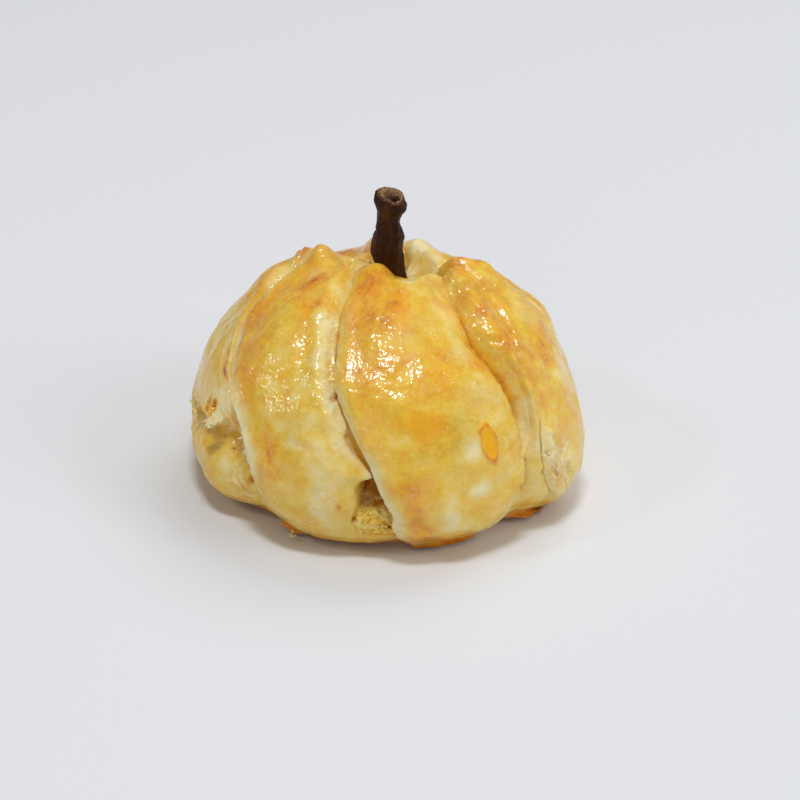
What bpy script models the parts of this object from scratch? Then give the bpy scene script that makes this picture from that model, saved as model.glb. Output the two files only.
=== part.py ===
"""Small apple pie in the shape of a pumpkin: one sheet of puff pastry drawn up round an apple filling, its flaps
lapped over each other up to a hollow at the top, where a dark stick stands as the stem.

Metres, +Z up. The origin is the middle of the base, and the side that the gap in the pastry faces is -Y.
Places on the pastry are given as (share, degrees): the share of the way from the middle of the base (0) up the side
and over the rim to the middle of the top hollow (1), and the angle round the pie, 0 at the front and + to the right.
"""

import bpy
import numpy as np

# Driving dimensions
PIE_RADIUS = 0.0519
DOME_HEIGHT = 0.0582
FIT_GAP = 0.0004

# Meridian of the plain dome, base to top hollow: (share of the radius, share of the height)
MERIDIAN = [
    (0.000, 0.000), (0.424, 0.000), (0.770, 0.003), (0.930, 0.069), (1.000, 0.206), (0.994, 0.361), (0.936, 0.524),
    (0.840, 0.670), (0.707, 0.802), (0.539, 0.911), (0.356, 0.990), (0.212, 1.000), (0.106, 0.936), (0.000, 0.911),
]
HOLLOW_SHIFT = (0.0022, 0.0030)
SHIFT_STARTS = 0.60

# Resolution: shares of the rows of points under the base, round the foot, up the side and into the hollow
BASE_ROWS = (0.05, 0.10, 0.14)
FOOT_ROWS, FOOT_SPAN = 7, (0.160, 0.255)
SIDE_ROWS, SIDE_SPAN = 26, (0.278, 0.900)
HOLLOW_ROWS = (0.925, 0.950, 0.972)
STEPS_PER_FLAP = {"narrow": 4, "wide": 7}

# Folds fade out under the base and at the bottom of the hollow, and there the flaps stop overlapping sooner
FOOT_FADE = (0.160, 0.225)
HOLLOW_FADE = (0.985, 0.930)
OVERLAP_FOOT, OVERLAP_HOLLOW, OVERLAP_FIRM = (0.175, 0.235), (0.900, 0.830), 0.9
FOLD_FULL_RADIUS = 0.018
EDGE_WIDTH = 0.0013


class Seam:
    """Where two flaps meet. route is (share, degrees) from base to hollow. over is 1 where the right flap lies on
    the left one and -1 where the left lies on the right. lip is the thickness of the upper flap's edge, valley how
    far the seam lies below the dome, tuck how far the lower flap runs on underneath, and gap and pocket the width
    and depth of an opening between them. Each is a length, or a list of (share, length)."""

    def __init__(self, name, route, over, lip, valley, tuck=0.0012, gap=0.0, pocket=0.0004):
        self.name = name
        self.route = route
        self.over = over
        self.lip = lip
        self.valley = valley
        self.tuck = tuck
        self.gap = gap
        self.pocket = pocket


SEAMS = [
    Seam(
        "back_left", [(0.20, -172), (0.40, -174), (0.60, -179), (0.80, -186), (1.0, -190)],
        over=-1, lip=0.0021, valley=[(0.2, 0.0030), (0.5, 0.0022), (0.8, 0.0026)],
    ),
    Seam(
        "left_back", [(0.20, -100), (0.40, -108), (0.60, -122), (0.80, -142), (1.0, -160)],
        over=1, lip=0.0020, valley=[(0.2, 0.0030), (0.5, 0.0018), (0.7, 0.0044), (0.85, 0.0042)],
    ),
    Seam(
        "left_front",
        [(0.20, -35), (0.29, -36.5), (0.37, -39), (0.43, -42.5), (0.49, -53), (0.57, -69), (0.66, -87), (0.76, -106),
         (0.86, -122), (1.0, -130)],
        over=1, lip=[(0.22, 0.0018), (0.34, 0.0030), (0.43, 0.0032), (0.60, 0.0018), (0.85, 0.0012)],
        valley=[(0.20, 0.0042), (0.34, 0.0044), (0.43, 0.0026), (0.60, 0.0012), (0.80, 0.0020)],
        tuck=[(0.25, 0.0016), (0.45, 0.0018), (0.7, 0.0008)],
        pocket=[(0.24, 0.0004), (0.29, 0.0030), (0.34, 0.0020), (0.40, 0.0006)],
    ),
    Seam(
        "front_gap",
        [(0.20, 5), (0.271, 2.5), (0.319, 1), (0.359, -1), (0.401, -3.5), (0.443, -6.5), (0.487, -10.5),
         (0.535, -15), (0.579, -19), (0.643, -24), (0.701, -30.5), (0.772, -41), (0.84, -66), (1.0, -84)],
        over=1, lip=[(0.22, 0.0016), (0.30, 0.0024), (0.55, 0.0020), (0.80, 0.0016)],
        valley=[(0.20, 0.0010), (0.30, 0.0012), (0.45, 0.0016), (0.60, 0.0020), (0.80, 0.0018)],
        gap=[(0.190, 0.0), (0.225, 0.0130), (0.317, 0.0100), (0.359, 0.0064), (0.400, 0.0022), (0.425, 0.0006),
             (0.450, 0.0010), (0.480, 0.0028), (0.505, 0.0014), (0.530, 0.0003), (0.575, 0.0006), (0.60, 0.0)],
        pocket=[(0.195, 0.0004), (0.235, 0.0070), (0.330, 0.0095), (0.395, 0.0080), (0.430, 0.0016), (0.480, 0.0026),
                (0.52, 0.0008), (0.575, 0.0014), (0.62, 0.0006)],
    ),
    Seam(
        "front_right",
        [(0.20, 36), (0.255, 39), (0.30, 42), (0.345, 44), (0.397, 45.2), (0.473, 45.8), (0.538, 44), (0.608, 41),
         (0.640, 38), (0.665, 36.8), (0.695, 38.4), (0.75, 44), (0.80, 53), (0.842, 70), (1.0, 82)],
        over=[(0.20, -1.0), (0.385, -1.0), (0.46, 0.35), (0.52, 1.0), (1.0, 1.0)],
        lip=[(0.22, 0.0020), (0.33, 0.0026), (0.42, 0.0012), (0.55, 0.0016), (0.70, 0.0020), (0.85, 0.0014)],
        valley=[(0.20, 0.0034), (0.33, 0.0036), (0.45, 0.0034), (0.60, 0.0032), (0.75, 0.0026)],
        pocket=[(0.26, 0.0006), (0.345, 0.0030), (0.38, 0.0006)],
    ),
    Seam(
        "right_pleat",
        [(0.20, 58), (0.301, 55), (0.365, 52), (0.427, 52.5), (0.483, 55), (0.561, 57), (0.61, 58.5), (0.647, 65),
         (0.681, 69), (0.721, 76), (0.764, 83), (0.84, 93), (1.0, 102)],
        over=1, lip=[(0.24, 0.0008), (0.36, 0.0016), (0.43, 0.0014), (0.52, 0.0006), (0.62, 0.0005), (0.75, 0.0012)],
        valley=[(0.20, 0.0012), (0.38, 0.0014), (0.50, 0.0012), (0.61, 0.0002), (0.68, 0.0010), (0.78, 0.0018)],
        tuck=0.0006,
        pocket=[(0.28, 0.0003), (0.36, 0.0022), (0.42, 0.0004)],
    ),
    Seam(
        "right_side", [(0.20, 88), (0.40, 86), (0.50, 88), (0.60, 95), (0.70, 105), (0.84, 118), (1.0, 124)],
        over=-1, lip=0.0012, valley=[(0.2, 0.0032), (0.5, 0.0008), (0.8, 0.0020)],
    ),
    Seam(
        "back_right", [(0.20, 132), (0.40, 130), (0.60, 138), (0.70, 146), (0.80, 147), (1.0, 146)],
        over=1, lip=0.0022, valley=[(0.2, 0.0034), (0.5, 0.0026), (0.7, 0.0050), (0.85, 0.0044)],
    ),
]

# Crown of the flap to the right of each seam: (share, height above the dome), and how squarely its sides fall
CROWNS = {
    "back_left": [(0.22, 0.0006), (0.5, 0.0012), (0.8, -0.0008)],
    "left_back": [(0.22, -0.0002), (0.33, 0.0008), (0.42, -0.0004), (0.55, 0.0008), (0.8, 0.0008)],
    "left_front": [(0.22, 0.0002), (0.35, 0.0006), (0.45, 0.0008), (0.62, 0.0012), (0.8, 0.0006)],
    "front_gap": [(0.22, 0.0002), (0.5, 0.0008), (0.7, 0.0010), (0.82, 0.0020)],
    "front_right": [(0.22, -0.0016), (0.45, -0.0004), (0.60, 0.0008), (0.75, 0.0010), (0.85, 0.0014)],
    "right_pleat": [(0.22, -0.0002), (0.45, -0.0006), (0.62, -0.0002), (0.8, 0.0004)],
    "right_side": [(0.22, -0.0006), (0.5, -0.0010), (0.8, -0.0018)],
    "back_right": [(0.22, 0.0004), (0.5, 0.0010), (0.8, 0.0008)],
}
SQUARENESS = {"front_right": 2.0, "right_pleat": 3.0}
USUAL_SQUARENESS = 3.6
NARROW_FLAPS = ("front_right", "right_pleat", "right_side")

# Swellings and dents on top of the folds: (share, degrees, height, size across, size along)
LUMPS = [
    (0.752, -101, 0.0036, 0.0064, 0.0056),  # left flap rolled over the rim
    (0.860, -42, 0.0026, 0.0048, 0.0056),  # nose of the front flap, in front of the stem
    (0.830, -88, 0.0010, 0.0030, 0.0044),  # small pleat between them
    (0.815, -102, -0.0022, 0.0042, 0.0036),  # dips in the rim behind it
    (0.745, -143, -0.0030, 0.0050, 0.0090),
    (0.750, -170, 0.0026, 0.0040, 0.0080),  # back flap, left of the stem
    (0.705, 148, -0.0048, 0.0040, 0.0120),  # dip in the rim, right of the stem
    (0.835, 120, -0.0024, 0.0040, 0.0060),
    (0.700, 112, 0.0015, 0.0070, 0.0080),  # right flap on the rim
    (0.660, -118, 0.0012, 0.0090, 0.0090),  # shoulder of the far left flap
    (0.500, 14, 0.0006, 0.0140, 0.0160),  # belly of the front flap
    (0.600, -36, -0.0010, 0.0040, 0.0140),  # trough along the left flap, beside the front one
    (0.470, 92, -0.0018, 0.0120, 0.0110),  # hollow in the right side
    (0.345, -30, 0.0010, 0.0080, 0.0070),  # foot of the left flap
    (0.330, 22, 0.0008, 0.0090, 0.0070),  # foot of the front flap
    (0.235, 10, -0.0015, 0.0220, 0.0080),
    (0.270, -58, 0.0024, 0.0090, 0.0080),  # foot of the far left flap
    (0.265, 68, 0.0024, 0.0100, 0.0075),  # foot of the right flap
    (0.240, 47, -0.0016, 0.0050, 0.0080),
    (0.610, 47, 0.0008, 0.0024, 0.0150),  # roll beside the right seam
]
# Crisp browned knobs: (share, degrees, height, size)
CRISP_KNOBS = [(0.705, -118, 0.0016, 0.0013), (0.722, -124, 0.0013, 0.0010), (0.748, -119, 0.0018, 0.0018)]

# The upper layer of the far left flap is torn across, and the pastry is sunk below the tear
TEAR_LEFT, TEAR_RIGHT = (-96, -82), (-47, -52)
TEAR_ROUTE = [(-96, 0.372), (-80, 0.385), (-72, 0.402), (-61, 0.412), (-56, 0.432), (-47, 0.424)]
TEAR_DEPTH = 0.0017
TEAR_STEP, TEAR_RUN = 0.012, 0.075

# Stem, bottom to top: (height, middle across, middle back, half width). Its broken top slopes to the right and to
# the front and has a hollow: (rise above the top ring, share of its half width). Grooves: (degrees, depth, width)
STEM_RINGS = [
    (0.0475, 0.0012, 0.0030, 0.0024), (0.0495, 0.0010, 0.0030, 0.0028), (0.0530, 0.0006, 0.0029, 0.0032),
    (0.0560, -0.0004, 0.0028, 0.0035), (0.0590, -0.0015, 0.0026, 0.0040), (0.0620, -0.0018, 0.0025, 0.0043),
    (0.0648, -0.0017, 0.0025, 0.0042), (0.0674, -0.0016, 0.0025, 0.0035), (0.0698, -0.0017, 0.0025, 0.0030),
    (0.0719, -0.0016, 0.0024, 0.0033), (0.0737, -0.0014, 0.0023, 0.0039), (0.0753, -0.0014, 0.0022, 0.0043),
    (0.0765, -0.0015, 0.0021, 0.0040),
]
STEM_SIDES = 26
STEM_TIP = 0.0006
BROKEN_FROM = -5  # the ring from which the stem leans over to its broken top
BROKEN_SLOPE = (-0.26, 0.22)
BROKEN_EDGE = 0.0003
STEM_MOUTH = [(0.0008, 0.80), (0.0006, 0.66), (-0.0004, 0.52), (-0.0014, 0.40), (-0.0019, 0.24)]
STEM_GROOVES = [(-14, 0.10, 20), (62, 0.05, 26), (150, 0.08, 30), (-110, 0.06, 34)]
KNOBBLE, KNOBBLES_PER_TURN, KNOBBLE_TWIST = 0.05, 3, 900

# Apple filling, bottom to top: (height, half width). It swells into the gap of the pastry at (middle, half width)
FILLING_RINGS = [
    (0.0052, 0.0300), (0.0060, 0.0360), (0.0085, 0.0395), (0.0125, 0.0410), (0.0170, 0.0410), (0.0215, 0.0400),
    (0.0260, 0.0378), (0.0305, 0.0342), (0.0345, 0.0295), (0.0380, 0.0235), (0.0405, 0.0165), (0.0418, 0.0090),
]
FILLING_SIDES = 44
SWELL_DEGREES, SWELL_LEVEL, SWELL_HEIGHT = (-3.0, 16.0), (0.0135, 0.0085), 0.0050
CRUMB_HEIGHT = 0.0006

# Crisp skirts of browned pastry at the base: (degrees, half width in degrees, reach)
SKIRTS = [(22, 14, 0.0012), (56, 10, 0.0030), (-30, 7, 0.0016), (-150, 20, 0.0024), (112, 14, 0.0022)]
SKIRT_SHARE, SKIRT_WIDTH = 0.176, 0.013


def smooth_curve(points, x):
    """Value at x of the smooth curve through the points, which never swings past them and is level beyond them."""
    if isinstance(points, (int, float)):
        return np.full_like(x, points)
    xs, ys = np.array(points, float).T
    steps = np.diff(ys) / np.diff(xs)
    slopes = np.zeros(len(xs))
    rising = steps[:-1] * steps[1:] > 0
    slopes[1:-1][rising] = (2 * steps[:-1] * steps[1:] / np.where(rising, steps[:-1] + steps[1:], 1))[rising]
    x = np.clip(x, xs[0], xs[-1])
    i = np.clip(np.searchsorted(xs, x) - 1, 0, len(xs) - 2)
    width = xs[i + 1] - xs[i]
    t = (x - xs[i]) / width
    start = ys[i] * (1 + 2 * t) * (1 - t) ** 2 + slopes[i] * width * t * (1 - t) ** 2
    end = ys[i + 1] * t * t * (3 - 2 * t) + slopes[i + 1] * width * t * t * (t - 1)
    return start + end


def ramp(x, start, end):
    """0 at start, 1 at end, smooth between."""
    t = np.clip((x - start) / (end - start), 0, 1)
    return t * t * (3 - 2 * t)


def meridian(share):
    """(radius, height) of the plain dome."""
    stations = np.array(MERIDIAN) * (PIE_RADIUS, DOME_HEIGHT)
    last = len(stations) - 1
    at = np.clip(share, 0, 1) * last
    i = np.minimum(at.astype(int), last - 1)
    t = (at - i)[..., None]
    before, here = stations[np.maximum(i - 1, 0)], stations[i]
    there, after = stations[i + 1], stations[np.minimum(i + 2, last)]
    bend = 2 * before - 5 * here + 4 * there - after
    twist = 3 * here - 3 * there + after - before
    return 0.5 * (2 * here + (there - before) * t + bend * t**2 + twist * t**3)


def on_pie(share, degrees, lift):
    """Points at these places of the dome, moved outwards along its normal by lift."""
    step = 1e-4
    radius, height = np.moveaxis(meridian(share), -1, 0)
    ahead, behind = meridian(np.minimum(share + step, 1)), meridian(np.maximum(share - step, 0))
    out, rise = np.moveaxis(ahead - behind, -1, 0)
    length = np.hypot(out, rise)
    reach = radius + lift * rise / length
    height = height - lift * out / length
    angle = np.radians(degrees)
    moved = ramp(share, SHIFT_STARTS, 1.0)
    return np.stack(
        [
            reach * np.sin(angle) + HOLLOW_SHIFT[0] * moved,
            -reach * np.cos(angle) + HOLLOW_SHIFT[1] * moved,
            np.maximum(height, 0),
        ],
        axis=-1,
    )


def fold(seam, share, radius):
    """The way across a seam, left to right: how far round, and how high above the dome, for each row of shares."""
    lip, valley, tuck = (smooth_curve(v, share) for v in (seam.lip, seam.valley, seam.tuck))
    gap, pocket, over = (smooth_curve(v, share) for v in (seam.gap, seam.pocket, seam.over))
    edge = np.full_like(share, EDGE_WIDTH)
    across = [
        (-gap - edge, -valley),  # the lower flap
        (-gap - 0.1 * edge, -valley - 0.25 * pocket),
        (-gap + 0.15 * pocket, -valley - pocket),  # floor of the opening between the flaps
        (tuck, -valley - pocket),
        (tuck, -valley - 0.35 * pocket),
        (0.10 * tuck, -valley + 0.08 * lip),  # underside of the upper flap
        (-0.30 * lip, -valley + 0.30 * lip),  # its cut edge, which leans back
        (0.35 * lip, -valley + 0.92 * lip),
        (edge + 0.20 * lip, -valley + 1.05 * lip),
    ]
    around = np.stack([a for a, _ in across], axis=1)
    height = np.stack([h for _, h in across], axis=1)
    right_over = ((1 + over) / 2)[:, None]
    around = right_over * around - (1 - right_over) * around[:, ::-1]
    height = right_over * height + (1 - right_over) * height[:, ::-1]
    flat = np.linspace(around[:, 0], around[:, -1], len(across), axis=1)
    overlap = ramp(share, *OVERLAP_FOOT) * ramp(share, *OVERLAP_HOLLOW) * ramp(np.abs(over), 0, OVERLAP_FIRM)
    around = flat + overlap[:, None] * (around - flat)
    size = np.minimum(1, radius / FOLD_FULL_RADIUS)[:, None]
    return around * size, height * size * fold_strength(share)[:, None]


def fold_strength(share):
    return ramp(share, *FOOT_FADE) * ramp(share, *HOLLOW_FADE)


def flap(name, share, turn, left, right):
    """Height of a flap above the dome, from its left edge (turn 0) to its right one (turn 1)."""
    crown = (smooth_curve(CROWNS[name], share) * fold_strength(share))[:, None]
    power = SQUARENESS.get(name, USUAL_SQUARENESS)
    return crown - (crown - left) * (1 - turn) ** power - (crown - right) * turn**power


def pastry_grid(share, steps):
    """(degrees, lift) of every point of the pastry, one row for each share, going round to the right."""
    radius = meridian(share)[:, 0]
    folds = [fold(seam, share, radius) for seam in SEAMS]
    lines = [smooth_curve(seam.route, share) for seam in SEAMS]
    degrees, lift = [], []
    for i, seam in enumerate(SEAMS):
        after = (i + 1) % len(SEAMS)
        around, height = folds[i]
        degrees.append(lines[i][:, None] + np.degrees(around / radius[:, None]))
        lift.append(height)
        next_line = lines[after] + (360 if after == 0 else 0)
        next_around, next_height = folds[after]
        start = degrees[-1][:, -1:]
        end = (next_line + np.degrees(next_around[:, 0] / radius))[:, None]
        turn = np.linspace(0, 1, steps[seam.name] + 2)[1:-1]
        degrees.append(start + (end - start) * turn)
        lift.append(flap(seam.name, share, turn, height[:, -1:], next_height[:, :1]))
    return np.concatenate(degrees, axis=1), np.concatenate(lift, axis=1)


def add_relief(share, degrees, lift):
    """The lift with the lumps, the crisp knobs and the tear added."""
    places = on_pie(share, degrees, 0 * lift)
    for at, turn, height, across, along in LUMPS + [(*knob, knob[-1]) for knob in CRISP_KNOBS]:
        around = np.array([[at, turn], [at, turn + 1], [at + 0.01, turn]])
        centre, beside, above = on_pie(around[:, 0], around[:, 1], np.zeros(3))
        right, up = (v / np.linalg.norm(v) for v in (beside - centre, above - centre))
        off = places - centre
        squared = (off @ right / across) ** 2 + (off @ up / along) ** 2 + (off @ np.cross(right, up) / along) ** 2
        lift = lift + height * np.exp(-squared)
    tear = smooth_curve(TEAR_ROUTE, degrees)
    inside = ramp(degrees, *TEAR_LEFT) * ramp(degrees, *TEAR_RIGHT)
    below = ramp(share, tear, tear - TEAR_STEP) * ramp(share, tear - TEAR_RUN, tear - 2 * TEAR_STEP)
    return lift - TEAR_DEPTH * inside * below


def skirt_reach(share, degrees):
    """How far the crisp skirts push the foot outwards."""
    strength = np.exp(-(((share - SKIRT_SHARE) / SKIRT_WIDTH) ** 2))
    reach = sum(far * np.exp(-(((degrees - at) / half) ** 2)) for at, half, far in SKIRTS)
    return strength * reach


def closed_mesh(name, rows, first_pole, last_pole):
    """A closed mesh of rings of points, each end shut by a fan round its pole."""
    count, around = rows.shape[:2]
    points = np.concatenate([rows.reshape(-1, 3), [first_pole, last_pole]])
    ring = np.arange(count * around).reshape(count, around)
    near, far = ring[:-1], ring[1:]
    quads = np.stack([near, np.roll(near, -1, 1), np.roll(far, -1, 1), far], axis=-1).reshape(-1, 4)
    first, last = count * around, count * around + 1
    fans = [(first, ring[0, (i + 1) % around], ring[0, i]) for i in range(around)]
    fans += [(last, ring[-1, i], ring[-1, (i + 1) % around]) for i in range(around)]
    mesh = bpy.data.meshes.new(name)
    mesh.from_pydata(points.tolist(), [], quads.tolist() + [tuple(map(int, f)) for f in fans])
    mesh.shade_smooth()
    return mesh


def make_pastry():
    foot, side = np.linspace(*FOOT_SPAN, FOOT_ROWS), np.linspace(*SIDE_SPAN, SIDE_ROWS)
    share = np.concatenate([BASE_ROWS, foot, side, HOLLOW_ROWS])
    steps = {seam.name: STEPS_PER_FLAP["narrow" if seam.name in NARROW_FLAPS else "wide"] for seam in SEAMS}
    degrees, lift = pastry_grid(share, steps)
    share = np.broadcast_to(share[:, None], degrees.shape)
    lift = add_relief(share, degrees, lift)
    rows = on_pie(share, degrees, lift)
    angle, reach = np.radians(degrees), skirt_reach(share, degrees)
    rows[..., 0] += reach * np.sin(angle)
    rows[..., 1] -= reach * np.cos(angle)
    return closed_mesh("crust", rows, (0, 0, 0), rows[-1].mean(axis=0))


def make_stem():
    angle = np.linspace(0, 2 * np.pi, STEM_SIDES, endpoint=False)
    shape = np.ones(STEM_SIDES)
    for at, depth, width in STEM_GROOVES:
        away = (np.degrees(angle) - at + 180) % 360 - 180
        shape -= depth * np.exp(-((away / width) ** 2))
    height, across, back, half = np.array(STEM_RINGS).T
    mouth = [(height[-1] + rise, across[-1], back[-1], half[-1] * part) for rise, part in STEM_MOUTH]
    rings = np.concatenate([np.array(STEM_RINGS), mouth])
    knobbles = np.sin(KNOBBLES_PER_TURN * angle + KNOBBLE_TWIST * rings[:, :1])
    wide = rings[:, 3:] * (shape + KNOBBLE * knobbles)
    x, y = wide * np.sin(angle), -wide * np.cos(angle)
    broken = ramp(rings[:, :1], height[BROKEN_FROM], height[-2])
    z = rings[:, :1] + broken * (BROKEN_SLOPE[0] * x + BROKEN_SLOPE[1] * y)
    on_top = np.arange(len(rings))[:, None] >= len(STEM_RINGS) - 1
    z = z + on_top * BROKEN_EDGE * np.sin(5 * angle) * np.cos(2 * angle)
    rows = np.stack([x + rings[:, 1:2], y + rings[:, 2:3], z], axis=-1)
    tip = rows[0].mean(axis=0) - (0, 0, STEM_TIP)
    return closed_mesh("stem", rows, tip, rows[-1].mean(axis=0))


def make_filling():
    angle = np.linspace(0, 2 * np.pi, FILLING_SIDES, endpoint=False)
    height, half = np.array(FILLING_RINGS).T
    away = (np.degrees(angle) - SWELL_DEGREES[0] + 180) % 360 - 180
    level = (height[:, None] - SWELL_LEVEL[0]) / SWELL_LEVEL[1]
    swell = SWELL_HEIGHT * np.exp(-((away / SWELL_DEGREES[1]) ** 2) - level**2)
    crumbs = CRUMB_HEIGHT * np.sin(7 * angle + 2 * level) * np.sin(4 * angle - 3 * level)
    wide = half[:, None] + swell + crumbs
    rows = np.stack([wide * np.sin(angle), -wide * np.cos(angle), height[:, None] + 0 * wide], axis=-1)
    return closed_mesh("filling", rows, (0, 0, height[0]), (0, 0, height[-1]))


def add_object(mesh):
    made = bpy.data.objects.new(mesh.name, mesh)
    bpy.context.scene.collection.objects.link(made)
    return made


def cut(body, tool):
    """Takes the tool's shape, grown by the fit gap all round, out of the body."""
    grown = tool.data.copy()
    count = len(grown.vertices)
    places, normals = np.empty(3 * count), np.empty(3 * count)
    grown.vertices.foreach_get("co", places)
    grown.vertex_normals.foreach_get("vector", normals)
    grown.vertices.foreach_set("co", places + FIT_GAP * normals)
    cutter = add_object(grown)
    modifier = body.modifiers.new("cut", "BOOLEAN")
    modifier.operation = "DIFFERENCE"
    modifier.solver = "EXACT"
    modifier.object = cutter
    bpy.context.view_layer.update()
    result = bpy.data.meshes.new_from_object(body.evaluated_get(bpy.context.evaluated_depsgraph_get()))
    body.modifiers.clear()
    body.data = result
    bpy.data.objects.remove(cutter)


def paint(body, colour, roughness, coat=0.0):
    material = bpy.data.materials.new(body.name)
    material.use_nodes = True
    shader = material.node_tree.nodes["Principled BSDF"]
    shader.inputs["Base Color"].default_value = (*colour, 1.0)
    shader.inputs["Roughness"].default_value = roughness
    shader.inputs["Coat Weight"].default_value = coat
    body.data.materials.clear()
    body.data.materials.append(material)


def centre(bodies):
    """Moves the bodies together so that the middle of the bounding box, seen from above, is on the Z axis."""
    points = np.concatenate([[tuple(v.co) for v in body.data.vertices] for body in bodies])
    middle = (points.min(axis=0) + points.max(axis=0)) / 2
    for body in bodies:
        for vertex in body.data.vertices:
            vertex.co.x -= middle[0]
            vertex.co.y -= middle[1]
            vertex.co.z -= points[:, 2].min()


def main():
    for old in list(bpy.data.objects):
        bpy.data.objects.remove(old)
    crust, filling, stem = add_object(make_pastry()), add_object(make_filling()), add_object(make_stem())
    cut(crust, filling)
    cut(crust, stem)
    centre([crust, filling, stem])
    paint(crust, (0.72, 0.42, 0.13), 0.35, 0.5)
    paint(filling, (0.50, 0.31, 0.09), 0.5)
    paint(stem, (0.045, 0.022, 0.012), 0.5)


main()
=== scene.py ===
"""The small apple pie with its looks: fine pastry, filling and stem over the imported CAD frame, in a studio.

Metres, +Z up, in the frame's axes. Places on the pastry are (share, degrees), as in the CAD source: share
runs from the middle of the base (0) up the side and over the rim to the middle of the top hollow (1), and
degrees go round the pie, 0 at the front and + to the right. The fine pastry is the CAD pastry with more rows,
rounder folds and the small relief that the solids leave out.
"""

import itertools
import math
from dataclasses import dataclass

import bmesh
import bpy
import numpy as np
from mathutils import Matrix, Vector


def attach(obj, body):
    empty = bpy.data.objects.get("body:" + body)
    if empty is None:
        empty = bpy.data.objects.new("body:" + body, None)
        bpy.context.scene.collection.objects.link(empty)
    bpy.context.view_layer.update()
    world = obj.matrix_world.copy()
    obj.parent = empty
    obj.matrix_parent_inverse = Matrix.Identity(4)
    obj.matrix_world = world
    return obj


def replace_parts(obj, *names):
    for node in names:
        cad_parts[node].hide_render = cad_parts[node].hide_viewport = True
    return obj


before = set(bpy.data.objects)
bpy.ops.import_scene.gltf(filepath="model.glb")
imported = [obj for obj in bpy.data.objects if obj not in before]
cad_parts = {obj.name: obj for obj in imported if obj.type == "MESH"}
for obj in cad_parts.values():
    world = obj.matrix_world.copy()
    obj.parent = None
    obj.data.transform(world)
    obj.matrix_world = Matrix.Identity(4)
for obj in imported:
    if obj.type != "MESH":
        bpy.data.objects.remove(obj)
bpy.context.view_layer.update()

# The pastry's tables give sizes in millimetres and shares in percent. Single values are in metres and in
# plain shares
MM, PERCENT = 0.001, 0.01

# Driving dimensions, as in the CAD source. The pie's own axis stands a little off the middle of the frame,
# and the hollow in its top off that axis. The outline is (part of the radius, part of the height) at even
# steps of share
PIE_RADIUS = 0.0519
DOME_HEIGHT = 0.0582
PIE_AXIS = np.array([0.00050, 0.00057, 0.0])
MERIDIAN = [
    (0, 0), (0.424, 0), (0.770, 0.003), (0.930, 0.069), (1, 0.206), (0.994, 0.361), (0.936, 0.524),
    (0.840, 0.670), (0.707, 0.802), (0.539, 0.911), (0.356, 0.990), (0.212, 1), (0.106, 0.936), (0, 0.911),
]
MERIDIAN_LENGTH = 0.130
HOLLOW_SHIFT = (0.0022, 0.0030)
SHIFT_STARTS = 0.60

# Rows of points: (from plain share, to share, how many). Columns: across a fold, and across a flap
ROWS = [(0.030, 0.130, 5), (0.140, 0.258, 48), (0.2605, 0.900, 256), (0.904, 0.985, 22)]
FOLD_COLUMNS = 32
FLAP_COLUMNS, NARROW_FLAP_COLUMNS = 100, 52
NARROW_FLAPS = ("front_right", "right_pleat", "right_side")

# Folds fade out under the base and at the bottom of the hollow, where the flaps stop overlapping sooner.
# Nearer the axis than FOLD_FULL_RADIUS they are smaller
FOOT_FADE = (0.140, 0.195)
HOLLOW_FADE = (0.985, 0.930)
OVERLAP_FOOT, OVERLAP_HOLLOW, OVERLAP_FIRM = (0.175, 0.235), (0.900, 0.830), 0.9
FOLD_FULL_RADIUS = 0.018
WANDER_RADIUS = 0.006  # nearer the axis than this, a seam's uneven run turns no further

Curve = float | list  # one number all along, or a list of (share, number)


@dataclass(eq=False)
class Seam:
    """Where two flaps meet. route is (share, degrees) from base to hollow. over is 1 where the right flap
    lies on the left one and -1 where the left lies on the right. lip is the thickness of the upper flap's
    edge, valley how far the seam lies below the dome, tuck how far the lower flap runs on underneath, and gap
    and pocket the width and depth of an opening between them. firm is 1 where the upper flap has a cut edge
    that laps over, and 0 where the two have baked together into a soft dip. edge is how far the dip reaches
    to each side, and face how far the cut edge slopes back."""

    name: str
    route: list
    over: Curve
    lip: Curve
    valley: Curve
    tuck: Curve = 1.2
    gap: Curve = 0
    pocket: Curve = 0.4
    firm: Curve = 1
    edge: Curve = 1.3
    face: Curve = 0


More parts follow.
